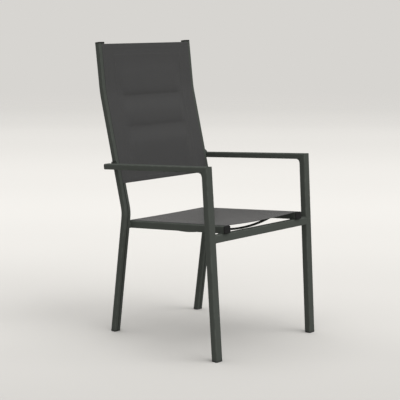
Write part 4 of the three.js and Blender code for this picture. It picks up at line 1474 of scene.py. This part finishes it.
# Lamps like far, wide softboxes: name, the way they stand, how wide they look and how strong
LAMPS = (
    ("Key", (1.1, -3.3, 3.4), math.radians(50), 1.5),
    ("Top", (-0.3, 0.2, 4.0), math.radians(75), 1.7),
    ("Fill", (-2.6, -3.2, 1.1), math.radians(60), 0.6),
)


class CHAIR_OT_stage(ChairOperator, bpy.types.Operator):
    """Pale floor, soft light and the camera"""
    bl_idname = "chair.stage"
    bl_label = "Stage"

    def execute(self, context):
        bm = bmesh.new()
        bmesh.ops.create_circle(bm, segments=FLOOR_SIDES, radius=FLOOR_REACH, cap_ends=True)
        floor = mesh_object(bm, "floor")
        floor.data.materials.append(floor_material())
        world_light()
        for name, place, angle, strength in LAMPS:
            lamp = bpy.data.lights.new(name, "SUN")
            lamp.angle = angle
            lamp.energy = strength
            holder = new_object(name, lamp)
            holder.location = place
            holder.rotation_euler = Vector(place).to_track_quat("Z", "Y").to_euler()
        view = bpy.data.cameras.new("Camera")
        view.lens = CAMERA_LENS
        view.sensor_width = CAMERA_SENSOR
        camera = new_object("Camera", view)
        camera.location = CAMERA_PLACE + Vector((0, SHIFT, 0))
        camera.rotation_euler = CAMERA_WAY.to_track_quat("-Z", "Y").to_euler()
        context.scene.camera = camera
        context.scene.view_settings.view_transform = "Standard"
        return {"FINISHED"}


OPERATORS = (
    CHAIR_OT_tubes,
    CHAIR_OT_plastics,
    CHAIR_OT_spreaders,
    CHAIR_OT_screws,
    CHAIR_OT_rods,
    CHAIR_OT_back,
    CHAIR_OT_seat,
    CHAIR_OT_welds,
    CHAIR_OT_stage,
)


class CHAIR_PT_panel(bpy.types.Panel):
    bl_label = "Sling patio chair"
    bl_idname = "CHAIR_PT_panel"
    bl_space_type = "VIEW_3D"
    bl_region_type = "UI"
    bl_category = "Chair"

    def draw(self, context):
        layout = self.layout
        for operator in OPERATORS:
            layout.operator(operator.bl_idname)
        for group in (context.scene.chair_sizes, context.scene.chair_colours):
            for name in group.__annotations__:
                layout.prop(group, name)


CLASSES = (ChairSizes, ChairColours, *OPERATORS, CHAIR_PT_panel)


def register():
    for item in CLASSES:
        bpy.utils.register_class(item)
    bpy.types.Scene.chair_sizes = PointerProperty(type=ChairSizes)
    bpy.types.Scene.chair_colours = PointerProperty(type=ChairColours)


def unregister():
    del bpy.types.Scene.chair_colours
    del bpy.types.Scene.chair_sizes
    for item in reversed(CLASSES):
        bpy.utils.unregister_class(item)


def main():
    register()
    for operator in OPERATORS:
        category, name = operator.bl_idname.split(".")
        getattr(getattr(bpy.ops, category), name)()


if __name__ == "__main__":
    main()
